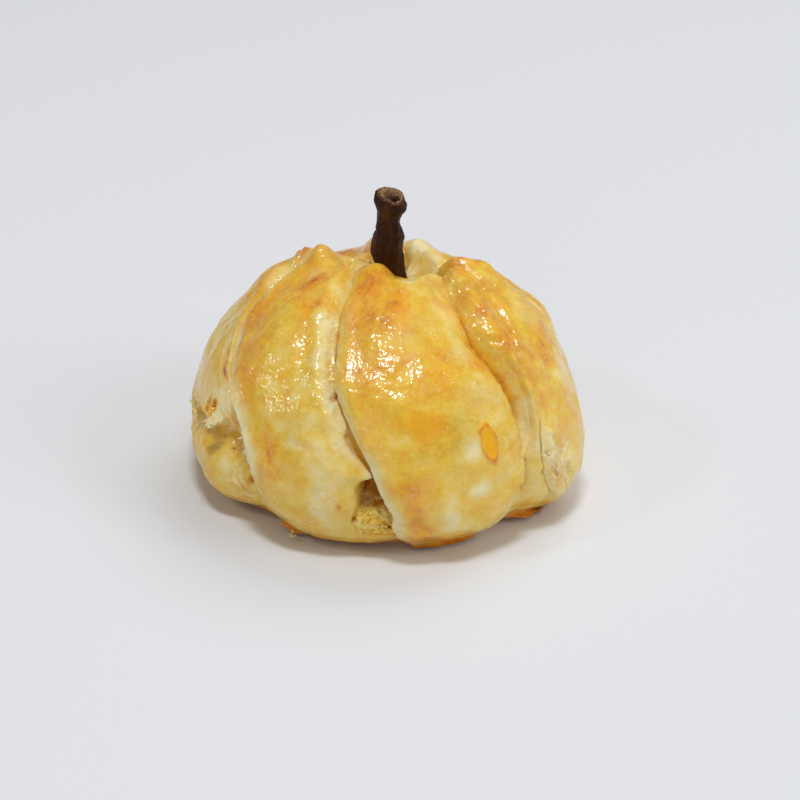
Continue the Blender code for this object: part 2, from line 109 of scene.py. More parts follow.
SEAMS = [
    Seam(
        "back_left", [(20, -172), (40, -174), (60, -179), (80, -186), (100, -190)],
        over=-1, lip=2.1, valley=[(20, 3), (50, 2.2), (80, 2.6)],
        firm=[(30, 1), (48, 0.8), (56, 0.1), (68, 0.3), (80, 1)],
    ),
    Seam(
        "left_back", [(20, -100), (40, -108), (60, -122), (80, -142), (100, -160)],
        over=1, lip=2, valley=[(20, 3), (50, 1.8), (70, 4.4), (85, 4.2)],
        firm=[(25, 0.2), (36, 1), (55, 0.9), (64, 0.1), (75, 0.2)],
    ),
    Seam(
        "left_front",
        [(20, -37.5), (29, -38.8), (37, -41.6), (43, -46), (49, -55.5), (57, -69.5), (66, -87), (76, -106),
         (86, -122), (100, -130)],
        over=1, lip=[(22, 1.8), (34, 3), (43, 3.2), (60, 1.8), (85, 1.2)],
        valley=[(20, 4.2), (34, 4.4), (43, 2.6), (60, 1.2), (80, 2)],
        tuck=[(25, 1.6), (45, 1.8), (60, 0.6)],
        gap=[(23.5, 0), (28.5, 2.6), (34.5, 2.8), (39.5, 1), (42.5, 0)],
        pocket=[(22, 0.6), (28, 4.4), (35, 5), (40, 2), (44, 0.5)],
        firm=[(50, 1), (62, 0.5), (72, 0.1)],
    ),
    Seam(
        "front_gap",
        [(20, 5), (27.1, 4), (31.9, 3), (35.9, 1.2), (39.5, -1), (44.3, -4.2), (48.7, -9.2),
         (53.5, -14.6), (57.9, -19), (64.3, -24), (70.1, -30.5), (77.2, -41), (84, -66), (100, -84)],
        over=1, lip=[(22, 1.6), (30, 2.4), (55, 2), (80, 1.6)],
        valley=[(20, 1), (30, 1.2), (45, 1.6), (60, 2), (80, 1.8)],
        gap=[(23.2, 0), (25.6, 8.4), (28, 10.4), (31.7, 9.8), (35.5, 7.8), (38.8, 6),
             (40.2, 4), (41.2, 1), (43, 2.4), (45.5, 4.4), (48.2, 3.6), (51.2, 1),
             (57.5, 0.8), (60, 0)],
        face=[(20, 2.6), (28, 2.4), (34, 1.4), (41, 0.8), (47, 0.2)],
        pocket=[(23.2, 0.4), (26, 4.4), (28.5, 7), (33, 9.8), (39.5, 8.5), (41.8, 1.6),
                (45.5, 3.2), (48.5, 2.6), (52, 0.8), (57.5, 1.8), (62, 0.6)],
        firm=[(60, 1), (68, 0.35), (78, 0.1)],
    ),
    Seam(
        "front_right",
        [(20, 36), (25.5, 39), (30, 42), (34.5, 44), (39.7, 46), (47.3, 49), (53.8, 48.6), (60.8, 46.2),
         (64, 44.2), (66.5, 43.4), (69.5, 44.6), (75, 49.5), (80, 57), (84.2, 72), (100, 82)],
        over=[(20, -1), (38.5, -1), (46, 0.35), (52, 1), (100, 1)],
        lip=[(22, 2), (33, 2.6), (42, 1.2), (55, 1.6), (70, 2), (85, 1.4)],
        valley=[(20, 3.4), (33, 3.6), (45, 3.6), (60, 3.2), (75, 2.6)],
        tuck=[(36, 1.2), (50, 0.4)],
        pocket=[(24, 1), (30, 2.4), (34.5, 3.6), (38.5, 1.4), (42, 1.2), (60, 0.8)],
        firm=[(26, 0.4), (33, 0.9), (40, 0.7), (46, 0), (75, 0)],
        edge=[(38, 1.3), (48, 2.2), (70, 2.6)],
    ),
    Seam(
        "right_pleat",
        [(20, 58), (30.1, 55), (36.5, 52), (42.7, 52.5), (48.3, 55), (56.1, 57), (61, 58.5), (64.7, 65),
         (68.1, 69), (72.1, 76), (76.4, 83), (84, 93), (100, 102)],
        over=1, lip=[(24, 0.8), (36, 1.6), (43, 1.4), (52, 0.6), (62, 0.5), (75, 1.2)],
        valley=[(20, 1.2), (38, 1.4), (50, 1.6), (61, 1.2), (68, 1.4), (78, 1.8)],
        tuck=[(36, 0.6), (45, 0.2)],
        pocket=[(28, 0.3), (34.5, 1.4), (38, 0.6), (41.2, 1), (45, 0.2)],
        firm=[(27, 0), (32, 1), (44, 0.9), (49, 0)],
        edge=[(40, 1.3), (52, 2.2), (75, 2.4)],
    ),
    Seam(
        "right_side", [(20, 88), (40, 86), (50, 88), (60, 95), (70, 105), (84, 118), (100, 124)],
        over=-1, lip=1.2, valley=[(20, 3.2), (50, 0.8), (80, 2)],
        firm=[(30, 1), (44, 0.9), (52, 0)],
    ),
    Seam(
        "back_right", [(20, 132), (40, 130), (60, 138), (70, 146), (80, 147), (100, 146)],
        over=1, lip=[(60, 2.2), (74, 0.5)],
        valley=[(20, 3.4), (50, 2.6), (66, 4), (76, 1.2), (85, 1)],
        firm=[(26, 0.1), (36, 0.9), (54, 1), (62, 0.3), (72, 0)],
    ),
]

# Crown of the flap to the right of each seam: (share, height above the dome), and how squarely its sides fall
CROWNS = {
    "back_left": [(22, 0.6), (50, 1.2), (80, -0.8)],
    "left_back": [(22, -0.2), (33, 0.8), (42, -0.4), (55, 0.8), (80, 0.8)],
    "left_front": [(22, 0.2), (35, 0.6), (45, 0.8), (62, 1.2), (80, 0.6)],
    "front_gap": [(22, 0.2), (50, 0.8), (70, 1), (82, 2)],
    "front_right": [(22, -1.6), (45, 0.2), (60, 1), (75, 1), (85, 1)],
    "right_pleat": [(22, -0.2), (45, -0.6), (62, -0.2), (80, 0.4)],
    "right_side": [(22, -0.6), (50, -1), (80, -1.8)],
    "back_right": [(22, 0.4), (50, 1), (80, 0.8)],
}
SQUARENESS = {"front_right": 2.0, "right_pleat": 3.0}
USUAL_SQUARENESS = 3.6

# Swellings and dents on top of the folds: (share, degrees, height, size across, size along)
LUMPS = (PERCENT, 1, MM, MM, MM) * np.array([
    (77, -103, 5, 4, 4.2),  # left flap rolled over the rim
    (73.5, -92, 1, 6, 6), (81.5, -90, -1.6, 3, 3),
    (86, -42, 2.6, 4.2, 5.6),  # nose of the front flap, in front of the stem
    (83.2, -92, 2.2, 2.6, 3.4),  # small pleat between them
    (80.8, -101, -2.6, 3.4, 3.4),  # dips in the rim behind it
    (80, -121, -2.6, 5, 5.4), (78.4, -96, -1, 2.4, 2.4), (74.5, -143, -3, 5, 9), (70, -146, -2.2, 7, 6),
    (66, 154, -1.2, 5, 5),
    (75, -170, 3.2, 4, 8),  # back flap, left of the stem
    (78, 166, -1, 5, 5),
    (83.5, 150, 1.6, 5.4, 5),  # round lobe of the back flap, right of the stem
    (90, 140, -1, 6, 2.6),
    (69, 146, -3.6, 5.4, 9),  # dip in the rim beyond it
    (74.5, 136, -1.6, 4, 5),
    (60, 100, 2.6, 10, 8.5),  # shoulder of the right flap
    (73.5, 95, -0.8, 3, 4), (87, 8, -1.4, 3.6, 4), (85, 118, -3.4, 3, 6),
    (79, 97, 0.8, 5, 5),  # round end of the right flap's roll
    (73.5, 101, 1.8, 5, 5), (87.2, 88, -2.6, 2.4, 4.4), (77, 80, 0.6, 4, 5),
    (70, 112, 1.5, 7, 8),  # right flap on the rim
    (66, -118, 1.2, 9, 9),  # shoulder of the far left flap
    (65.2, -101, 1.6, 6, 6.4), (56.5, -93, -0.6, 6, 5), (35.2, -78, -1, 8, 6),
    (59.5, -53, 1, 6.5, 15),  # crown of the left flap
    (50, 14, 0.6, 14, 16),  # belly of the front flap
    (60, -36, -1, 4, 14),  # trough along the left flap, beside the front one
    (47, 92, -1.8, 12, 11),  # hollow in the right side
    (34.5, -30, 1, 8, 7),  # foot of the left flap
    (33, 22, 0.8, 9, 7),  # foot of the front flap
    (23.5, 10, -1.5, 22, 8),
    (27, -58, 2.4, 9, 8),  # foot of the far left flap
    (28.5, 68, 2, 10, 7),  # foot of the right flap
    (24, 47, -1.6, 5, 8),
    (61, 47, 0.8, 2.4, 15),  # roll beside the right seam
])
# Ridges and grooves along a seam: (seam, distance to its right, half width, [(share, height), ...])
RIDGES = [
    ("front_gap", -5.6, 2.2, [(46, 0.2), (58, 0.6), (72, 0.7), (80, 0.4)]),
    ("front_gap", -1.8, 1.6, [(44, -0.3), (60, -0.7), (74, -0.8), (80, -0.4)]),
    ("front_gap", 3, 2, [(42, 0.2), (60, 0.5), (78, 0.4)]),
    ("left_front", 4, 2.6, [(46, 0.2), (60, 0.6), (74, 0.6)]),
    ("left_front", -1.6, 1.8, [(30, -0.6), (45, -0.6), (70, -0.5)]),
    ("left_front", -5.6, 1.6, [(42, 0.2), (52, 0.5), (66, 0.4)]),
    ("front_right", 0, 2.4, [(30, -0.4), (48, -1), (62, -1), (76, -0.8)]),
    ("front_right", 5.6, 2.6, [(56, 0.4), (66, 1), (76, 0.6)]),
    ("front_right", -5, 3, [(44, 0.2), (56, 0.5), (72, 0.3)]),
    ("right_pleat", -2.4, 2.4, [(52, 0.4), (62, 0.7), (72, 0.8), (78, 0.4)]),
    ("right_pleat", 3.4, 1.8, [(26, 0.3), (34, 0.6), (44, 0.4)]),
    ("right_side", 0, 3, [(26, -0.6), (50, -0.8), (74, -0.6)]),
    ("back_right", -1.8, 2.4, [(28, -0.6), (50, -0.9), (78, -0.6)]),
    ("left_back", -1.8, 2.4, [(28, -0.6), (50, -0.9), (78, -0.6)]),
    ("back_left", 1.8, 2.4, [(28, -0.6), (50, -0.9), (78, -0.6)]),
]
RIDGE_FADE = 3  # percent of share over which a ridge or crumpled stretch fades out at its ends
# Lines: (places that it runs through, half width, height, drop on its right, and what it adds to bake
# and to chalk in the painting). Going up the pie, the right is that of the picture
MARKS = [
    ([(39.2, -33.2), (42.1, -34.4), (46.6, -38.4)], 0.6, -0.4, 0, 0.12, 0),
    ([(37.2, -57), (39.3, -59.7)], 0.6, -1.2, 0, 0.2, 0),
    ([(49.5, -65), (53, -71), (55.5, -75.5)], 0.7, -0.2, 0, 0.45, 0),
    ([(69, 40), (71.2, 42.5)], 0.5, -0.6, 0, 0.35, 0),
    ([(30, 56.5), (34.5, 54.3), (38.5, 55)], 0.5, -0.5, 0, 0.4, 0.2),
    ([(44.5, 55.5), (42.5, 53.6), (40.2, 54.2)], 0.8, 0.7, 0, -0.1, 0.5),
    ([(40.8, 54.8), (38.8, 53.2), (36.2, 54.6)], 0.9, 0.8, 0, -0.1, 0.5),
    ([(36.8, 56.2), (34.2, 54), (31.2, 56.5)], 0.8, 0.7, 0, -0.1, 0.5),
    ([(38, 58.6), (34.5, 57.2), (30.6, 60.5)], 0.7, 0.6, 0.5, 0.1, 0.4),
    ([(40, 61.6), (36, 60.4), (31.5, 64.5)], 0.7, 0.5, 0.5, 0.1, 0.3),
    ([(52, -58.5), (48, -51.5), (44, -44.8), (41, -42), (37, -39.5), (33.5, -38.6)], 1.2, 0.3, 0, -0.3, 0.9),
    ([(65, 97), (60, 90), (54, 85)], 0.6, -0.2, 0.5, -0.1, 0.4),
    ([(72, 108), (66, 101), (60, 95)], 0.6, 0, 0.5, -0.1, 0.3),
    ([(60, 57.5), (55.4, 57.5), (50, 58.5), (46.2, 58.5)], 0.9, -0.4, 0, 0.1, 0),
    ([(74.5, 78), (71.5, 83), (69, 88)], 1.2, -0.6, 0, 0.1, 0),
    ([(30, -24), (34.5, -20), (38.5, -19)], 1, -0.3, 0, 0.1, 0),
    ([(47, -31), (45.2, -27), (44.6, -22), (45.2, -18)], 0.9, -0.3, 0, 0, 0.2),
    ([(70, -88), (64, -78), (58, -66)], 1.6, 0.4, 0, 0.15, 0),
    ([(77.5, -72), (74.5, -67.5), (71, -63)], 1.4, 0.4, 0, 0.2, 0),
    ([(84, -30), (79, -24), (74, -21)], 1.8, 0.4, 0, 0.1, 0),
    ([(83, -8), (78, -6), (72, -5)], 2, -0.3, 0, 0, 0), ([(70, 4), (64, 8), (56, 9)], 3, -0.3, 0, 0, 0),
    ([(44, 20), (48, 28), (54, 31)], 2, -0.3, 0, -0.05, 0),
    ([(30, 12), (36, 8), (42, 3)], 2.4, 0.3, 0, 0.1, 0),
    ([(39, 172), (45, 166), (52, 160)], 0.9, -0.4, 0.5, 0.2, 0.2),
    ([(56, -140), (50, -133), (43, -128)], 0.9, -0.3, 0.6, 0.2, 0.2),
    ([(62, 118), (54, 112), (46, 110)], 1.2, -0.4, 0, 0.1, 0.1),
    # crevices along the seams, painted browner as the shade in them
    ([(48, -9.6), (53.5, -15), (57.9, -19.2),
      (64.3, -24.2), (70.1, -30.8), (77.2, -41.4)], 0.5, -0.6, 0, 0.3, -0.3),
    ([(44, 48.2), (53.8, 48.6), (60.8, 46.2),
      (64, 44.2), (66.5, 43.4), (70, 45), (77, 52)], 0.6, -1, 0, 0.3, -0.2),
    ([(56, 58), (61, 59.5), (64.7, 65.5), (68.1, 70), (72.1, 77)], 0.6, -0.4, 0, 0.06, 0),
    # pleats and folds round the hollow
    ([(79, -58), (82.5, -72), (85, -98)], 1.1, 0.7, 0, 0.1, 0),
    ([(80, -74), (83.5, -92), (84.5, -118)], 0.9, -0.8, 0, 0.15, 0),
    ([(86.5, -70), (88, -95), (87, -125)], 1, 0.7, 0, 0, 0.1),
    ([(82.5, 22), (85, 45), (84.5, 66)], 1, 0.7, 0, 0, 0.2),
    ([(80, 48), (83.5, 62), (86, 72)], 1, 0.6, 0, 0.1, 0),
    ([(88, 20), (89.5, 60), (89, 90)], 0.9, 0.6, 0, 0, 0.1),
    ([(74, 100), (78, 104), (82, 108)], 1.2, -0.6, 0, 0.2, 0),
]
LINE_REACH_DEGREES, LINE_REACH_SHARE = 12, 0.06  # beyond this a line isn't worked out
LINE_WAVE, LINE_WAVE_SIZE = 0.0003, 0.0022
LINE_ENDS = 0.2  # part of a line's length over which each end fades
PAINT_SPREAD = 1.4  # how much wider a line is in the painting
# Thin layers of puff pastry that show edge on: (places, how far they reach to the left, to the right, drop)
LAYERS = [
    ([(44, -48.5), (50, -58), (56, -70), (61, -80)], 5.8, 0, 0.22),
    ([(33.5, 53.5), (39, 53), (44, 55)], 0, 4, 0.6), ([(40, -84), (38.5, -78), (39.2, -68)], 2, 0, 0.35),
    ([(28, 128), (34, 129), (40, 129.5)], 4.8, 0, 0.35), ([(30, -98), (38, -104), (46, -110)], 4.8, 0, 0.35),
]
# The same in curves round a place, on its left: (share, degrees, inner and outer distance, drop)
SHELLS = (PERCENT, 1, MM, MM, MM) * np.array([
    (33, -44, 1.6, 7.8, 1.1), (34, 64, 1.6, 6.2, 0.7),
])
LAYER_SPACING, SHELL_SPACING, LAYER_FADE = 0.0012, 0.0019, 0.0008
SHELL_FLATNESS = 0.62
# The grooves between the layers are painted browner, as the shade in them
LAYER_SHADE_BAKE = 0.50  # how much browner the grooves of the layers are
LAYER_PAINT, SHELL_PAINT = (0.4, 0.55), (0.5, 0.75)  # (height that stays as baked, paleness of the edge)
# Small holes torn in the top layer: (share, degrees, half width, half height, depth)
HOLES = (PERCENT, 1, MM, MM, MM) * np.array([
    (43.7, -65.2, 0.8, 1.4, 3), (42.5, -68.4, 0.8, 1.5, 3), (37.5, -52.8, 0.6, 0.6, 1.2),
    (31.8, -43.8, 0.8, 1.2, 1.6), (56, -19.4, 0.9, 1.3, 1.8), (39.8, 52.4, 0.3, 0.8, 1.4),
    (34.2, 43.6, 0.9, 0.9, 2.4), (34.5, 55.2, 0.5, 0.9, 1.6),
])
# The inside of a hole is painted browner, as the shade in it
HOLE_SHADE_BAKE = 0.60
# Caramel blister with a raised rim: (share, degrees, half width, half height, lean), then the heights of both
BLISTER = (PERCENT, 1, MM, MM, 1) * np.array([46.2, 31.6, 2.3, 4.6, -0.1])
BLISTER_RIM, BLISTER_FLOOR = 0.00055, 0.0001
# Crumpled wet pastry: (seam, distance to its right, half width, from share, to share, bumps' size, height)
CRUMPLES = [
    ("front_gap", -2.6, 2.2, 44, 74, 1.9, 0.45), ("front_gap", 1, 1.2, 44, 62, 1.4, 0.25),
    ("left_front", -2, 2, 36, 50, 2.2, 0.3), ("left_front", 1.2, 1.2, 30, 52, 2, 0.3),
    ("front_right", -1.2, 1.8, 32, 60, 1.8, 0.3), ("right_pleat", -1, 2.2, 30, 46, 1.8, 0.35),
    ("front_right", 5, 4, 46, 80, 3, 0.48), ("right_pleat", 6, 6, 50, 74, 4, 0.34),
]
# Crisp browned knobs: (share, degrees, height, size)
CRISP_KNOBS = (PERCENT, 1, MM, MM) * np.array([
    (72.2, -107, 1.6, 3.2), (72.2, -113, 0.9, 1.1), (73.5, -109, 0.8, 1), (70.5, -105, 0.7, 1),
    (74.2, -104, 0.7, 1), (71.5, -108, 0.8, 0.9), (76.4, -110, 0.7, 1.3),
])

# The upper layer of the far left flap is torn across, and the pastry is sunk below the tear
TEAR_LEFT, TEAR_RIGHT = (-96, -82), (-47, -52)
TEAR_ROUTE = (1, PERCENT) * np.array([
    (-96, 37.2), (-80, 38.5), (-72, 40.2), (-61, 41.2), (-56, 43.2), (-47, 42.4),
])
TEAR_DEPTH = 0.0034
TEAR_STEP, TEAR_RUN = 0.0045, 0.080

# Crisp skirts of browned pastry at the base: (degrees, half width in degrees, reach)
SKIRTS = (1, 1, MM) * np.array([
    (20, 13, 2), (60, 11, 3.4), (-31, 6, 2), (-150, 20, 2.4), (112, 14, 2.2), (-92, 9, 1.4),
])
SKIRT_SHARE, SKIRT_WIDTH, SKIRT_ALL_ROUND = 0.170, 0.0075, 0.0004

# How unevenly the flaps' edges run: (size of the bumps, sideways amount, part of the lip's thickness)
EDGE_WANDER = (MM, MM, 1) * np.array([(6, 0.45, 0.18), (2.2, 0.18, 0.16)])


def smooth_curve(points, x):
    """Value at x of the smooth curve through the points, which never swings past them; it is level beyond."""
    if isinstance(points, (int, float)):
        return np.full_like(x, points)
    xs, ys = np.array(points, float).T
    steps = np.diff(ys) / np.diff(xs)
    product, total = steps[:-1] * steps[1:], steps[:-1] + steps[1:]
    slopes = np.zeros(len(xs))
    slopes[1:-1] = np.where(product > 0, 2 * product / np.where(product > 0, total, 1), 0)
    x = np.clip(x, xs[0], xs[-1])
    i = np.clip(np.searchsorted(xs, x) - 1, 0, len(xs) - 2)
    width = xs[i + 1] - xs[i]
    t = (x - xs[i]) / width
    start = ys[i] * (1 + 2 * t) * (1 - t) ** 2 + slopes[i] * width * t * (1 - t) ** 2
    end = ys[i + 1] * t * t * (3 - 2 * t) + slopes[i + 1] * width * t * t * (t - 1)
    return start + end


def by_share(points, share):
    """smooth_curve for points whose shares are in percent."""
    return smooth_curve(points, share / PERCENT)


def ramp(x, start, end):
    """0 at start, 1 at end, smooth between."""
    t = np.clip((x - start) / (end - start), 0, 1)
    return t * t * (3 - 2 * t)


def bell(*offsets):
    """1 in the middle, falling off to all sides; the offsets are counted in half widths."""
    return np.exp(-sum(offset**2 for offset in offsets))


def scrambled(cells, seed):
    """A well mixed whole number for each lattice cell."""
    mixed = cells[..., 0] * 73856093 ^ cells[..., 1] * 19349663 ^ cells[..., 2] * 83492791 ^ seed * 26544357
    mixed = (mixed ^ (mixed >> 13)) * 1274126177 & 0xFFFFFFFF
    return mixed ^ (mixed >> 16)


def three_parts(mixed, bits):
    """Three numbers from 0 to 1 out of each mixed one."""
    top = 2**bits - 1
    return np.stack([(mixed >> shift) & top for shift in (0, bits, 2 * bits)], axis=-1) / top


def noise(points, size, seed, octaves=1):
    """Smooth bumps, about -1 to 1, that are size across; each octave adds finer ones of half the height."""
    total = 0
    for octave in range(octaves):
        spot = points * (2**octave / size)
        cell = np.floor(spot).astype(np.int64)
        inside = spot - cell
        fade = inside**3 * (inside * (inside * 6 - 15) + 10)
        for corner in itertools.product((0, 1), repeat=3):
            slope = 2 * three_parts(scrambled(cell + corner, seed + octave), 10) - 1
            weight = np.prod(np.where(corner, fade, 1 - fade), axis=-1)
            total = total + weight * (slope * (inside - corner)).sum(axis=-1) / 2**octave
    return 1.6 * total


def blisters(points, size, seed, fill):
    """Round bubbles, 0 to 1, at most one in a cell of this size; fill is the share of cells that have one."""
    spot = points / size
    cell = np.floor(spot).astype(np.int64)
    best = np.zeros(points.shape[:-1])
    for step in itertools.product((-1, 0, 1), repeat=3):
        near = cell + step
        mixed = scrambled(near, seed)
        wide = 0.30 + 0.45 * (((mixed >> 4) & 63) / 63)
        there = ((mixed >> 24) & 127) / 127 < fill
        squared = ((spot - near - three_parts(mixed, 8)) ** 2).sum(axis=-1) / wide**2
        best = np.maximum(best, np.where(there, np.clip(1 - squared, 0, 1) * wide, 0))
    return best


def meridian(share):
    """(radius, height) of the plain dome."""
    stations = np.array(MERIDIAN) * (PIE_RADIUS, DOME_HEIGHT)
    last = len(stations) - 1
    at = np.clip(share, 0, 1) * last
    i = np.minimum(at.astype(int), last - 1)
    t = (at - i)[..., None]
    before, here = stations[np.maximum(i - 1, 0)], stations[i]
    there, after = stations[i + 1], stations[np.minimum(i + 2, last)]
    bend = 2 * before - 5 * here + 4 * there - after
    twist = 3 * here - 3 * there + after - before
    return 0.5 * (2 * here + (there - before) * t + bend * t**2 + twist * t**3)


def turned(reach, degrees):
    """(x, y) of a point at this reach from the axis, and degrees round from the front."""
    angle = np.radians(degrees)
    return reach * np.sin(angle), -reach * np.cos(angle)


def turn_between(degrees, start):
    """The turn from start to degrees, at most half a turn to either side."""
    return (degrees - start + 180) % 360 - 180


def on_pie(share, degrees, lift):
    """Points at these places of the dome, moved outwards along its normal by lift."""
    step = 1e-4
    radius, height = np.moveaxis(meridian(share), -1, 0)
    ahead, behind = meridian(np.minimum(share + step, 1)), meridian(np.maximum(share - step, 0))
    out, rise = np.moveaxis(ahead - behind, -1, 0)
    length = np.hypot(out, rise)
    x, y = turned(radius + lift * rise / length, degrees)
    z = np.maximum(height - lift * out / length, 0)
    moved = ramp(share, SHIFT_STARTS, 1.0)
    return np.stack([x + HOLLOW_SHIFT[0] * moved, y + HOLLOW_SHIFT[1] * moved, z], axis=-1)


def directions(share, degrees, lift=0):
    """A place on the dome, and the directions to the right, upwards and outwards from it."""
    across, along = np.array([degrees, degrees + 1, degrees]), np.array([share, share, share + 0.01])
    centre, beside, above = on_pie(along, across, np.full(3, float(lift)))
    right, up = (way / np.linalg.norm(way) for way in (beside - centre, above - centre))
    return centre, right, up, np.cross(right, up)


# ----------------------------------------------------------------------------------------------------
# The folds and flaps of the pastry


def rounded(path, count):
    """The smooth curve that the path's points steer, a row for each of its rows, in count columns."""
    bends = path.shape[1] - 2
    at = np.linspace(0, bends, count)
    i = np.minimum(at.astype(int), bends - 1)
    t = at - i
    joints = (path[:, :-1] + path[:, 1:]) / 2
    joints[:, 0], joints[:, -1] = path[:, 0], path[:, -1]
    return joints[:, i] * (1 - t) ** 2 + 2 * path[:, i + 1] * t * (1 - t) + joints[:, i + 1] * t**2


# Where the upper flap's cut edge and the inside of the slit lie on the way across a seam, 0 to 1
CUT_EDGE, CUT_EDGE_HALF = 0.78, 0.11
SLIT, SLIT_HALF = 0.42, 0.20
# Lower down, the inside of a slit is painted dark as the shade in the opening, the more so the deeper it is
PALE_LIP, BROWN_SLIT = 0.0018, 0.0070  # thickness of a fully pale edge, gap and pocket of a fully dark slit


def edge_places(seam, share, aside):
    """Places along a seam where its unevenness is looked up."""
    return np.stack([share * MERIDIAN_LENGTH, 0 * share + aside, 0 * share + SEAMS.index(seam)], axis=-1)


def fold(seam, share, radius):
    """The way across a seam, left to right: how far round, how high above the dome, and how much it is (the
    upper flap's cut edge, inside of the slit), for each row of shares."""
    sizes = (seam.lip, seam.valley, seam.tuck, seam.gap, seam.pocket, seam.edge, seam.face)
    lip, valley, tuck, gap, pocket, edge, face = (MM * by_share(size, share) for size in sizes)
    over, firm = by_share(seam.over, share), by_share(seam.firm, share)
    whole_lip = lip
    for size, _, part in EDGE_WANDER:
        lip = lip * (1 + part * noise(edge_places(seam, share, 0), size, 11))
    across = [
        (-gap - edge, -valley),  # the lower flap
        (-gap - 0.30 * edge, -valley - 0.10 * pocket),
        (-gap - 0.02 * edge, -valley - 0.35 * pocket),
        (-gap + 0.10 * pocket, -valley - 0.90 * pocket),
        (-gap + 0.30 * pocket, -valley - pocket),  # floor of the opening between the flaps
        (0.6 * tuck - 0.25 * gap, -valley - pocket),
        (tuck, -valley - pocket),
        (tuck, -valley - 0.35 * pocket),
        (0.30 * tuck, -valley + 0.06 * lip),  # underside of the upper flap
        (-0.26 * lip, -valley + 0.16 * lip),  # its cut edge, which leans back
        (-0.32 * lip, -valley + 0.30 * lip),
        (-0.12 * lip + 0.40 * face, -valley + 0.52 * lip),
        (0.20 * lip + 0.95 * face, -valley + 0.90 * lip),
        (0.38 * lip + 1.05 * face, -valley + 1.00 * lip),
        (edge + 0.20 * whole_lip + 1.1 * face, -valley + 1.05 * whole_lip),
    ]
    around, height = (np.stack(side, axis=1) for side in zip(*across))
    right_over = ((1 + over) / 2)[:, None]

    def lapped_over(way, mirror):
        """The way as it runs where the right flap is on top, or mirrored where the left one is."""
        return right_over * way + mirror * (1 - right_over) * way[..., ::-1]

    around, height = (rounded(lapped_over(*way), FOLD_COLUMNS) for way in ((around, -1), (height, 1)))
    flat = np.linspace(around[:, 0], around[:, -1], FOLD_COLUMNS, axis=1)
    overlap = ramp(share, *OVERLAP_FOOT) * ramp(share, *OVERLAP_HOLLOW) * ramp(np.abs(over), 0, OVERLAP_FIRM)
    lapped = (firm * overlap)[:, None]
    around = flat + lapped * (around - flat)
    size = np.minimum(1, radius / FOLD_FULL_RADIUS)[:, None]
    way = lapped_over(np.linspace(0, 1, FOLD_COLUMNS), 1)
    pale, brown = (np.minimum(1, part)[:, None] for part in (lip / PALE_LIP, (gap + pocket) / BROWN_SLIT))
    cut = lapped * bell((way - CUT_EDGE) / CUT_EDGE_HALF) * pale
    slit = lapped * bell(((way - SLIT) / SLIT_HALF) ** 2) * brown
    return around * size, height * size * fold_strength(share)[:, None], np.stack([cut, slit])


def fold_strength(share):
    return ramp(share, *FOOT_FADE) * ramp(share, *HOLLOW_FADE)


def flap(name, share, turn, left, right):
    """Height of a flap above the dome, from its left edge (turn 0) to its right one (turn 1)."""
    crown = (MM * by_share(CROWNS[name], share) * fold_strength(share))[:, None]
    power = SQUARENESS.get(name, USUAL_SQUARENESS)
    return crown - (crown - left) * (1 - turn) ** power - (crown - right) * turn**power


def seam_line(seam, share):
    """Degrees of the seam at each share, with the uneven run of a hand-cut edge."""
    radius = np.maximum(meridian(share)[..., 0], WANDER_RADIUS)
    places = edge_places(seam, share, 0.5)
    wander = sum(amount * noise(places, size, 7) for size, amount, _ in EDGE_WANDER)
    return by_share(seam.route, share) + np.degrees(wander * fold_strength(share) / radius)


def pastry_grid(share):
    """(degrees, lift, (cut edge, slit)) of the pastry's points: a row for each share, going round the pie."""
    radius = meridian(share)[:, 0]
    folds = [fold(seam, share, radius) for seam in SEAMS]
    lines = [seam_line(seam, share)[:, None] for seam in SEAMS]
    parts = []
    for i, seam in enumerate(SEAMS):
        after = (i + 1) % len(SEAMS)
        (around, height, edge), (next_around, next_height, _) = folds[i], folds[after]
        across = lines[i] + np.degrees(around / radius[:, None])
        start, end = across[:, -1:], lines[after] + np.degrees(next_around[:, :1] / radius[:, None])
        end = end + (360 if after == 0 else 0)
        columns = NARROW_FLAP_COLUMNS if seam.name in NARROW_FLAPS else FLAP_COLUMNS
        turn = np.linspace(0, 1, columns + 2)[1:-1]
        lift = flap(seam.name, share, turn, height[:, -1:], next_height[:, :1])
        parts += [(across, height, edge), (start + (end - start) * turn, lift, np.zeros((2, *lift.shape)))]
    return tuple(np.concatenate(kind, axis=-1) for kind in zip(*parts))


# ----------------------------------------------------------------------------------------------------
# The relief on the folds and flaps


def seam_distance(name, share, degrees):
    """How far each point lies to the right of the seam's line, in metres along the dome."""
    seam = next(s for s in SEAMS if s.name == name)
    return np.radians(turn_between(degrees, by_share(seam.route, share))) * meridian(share)[..., 0]


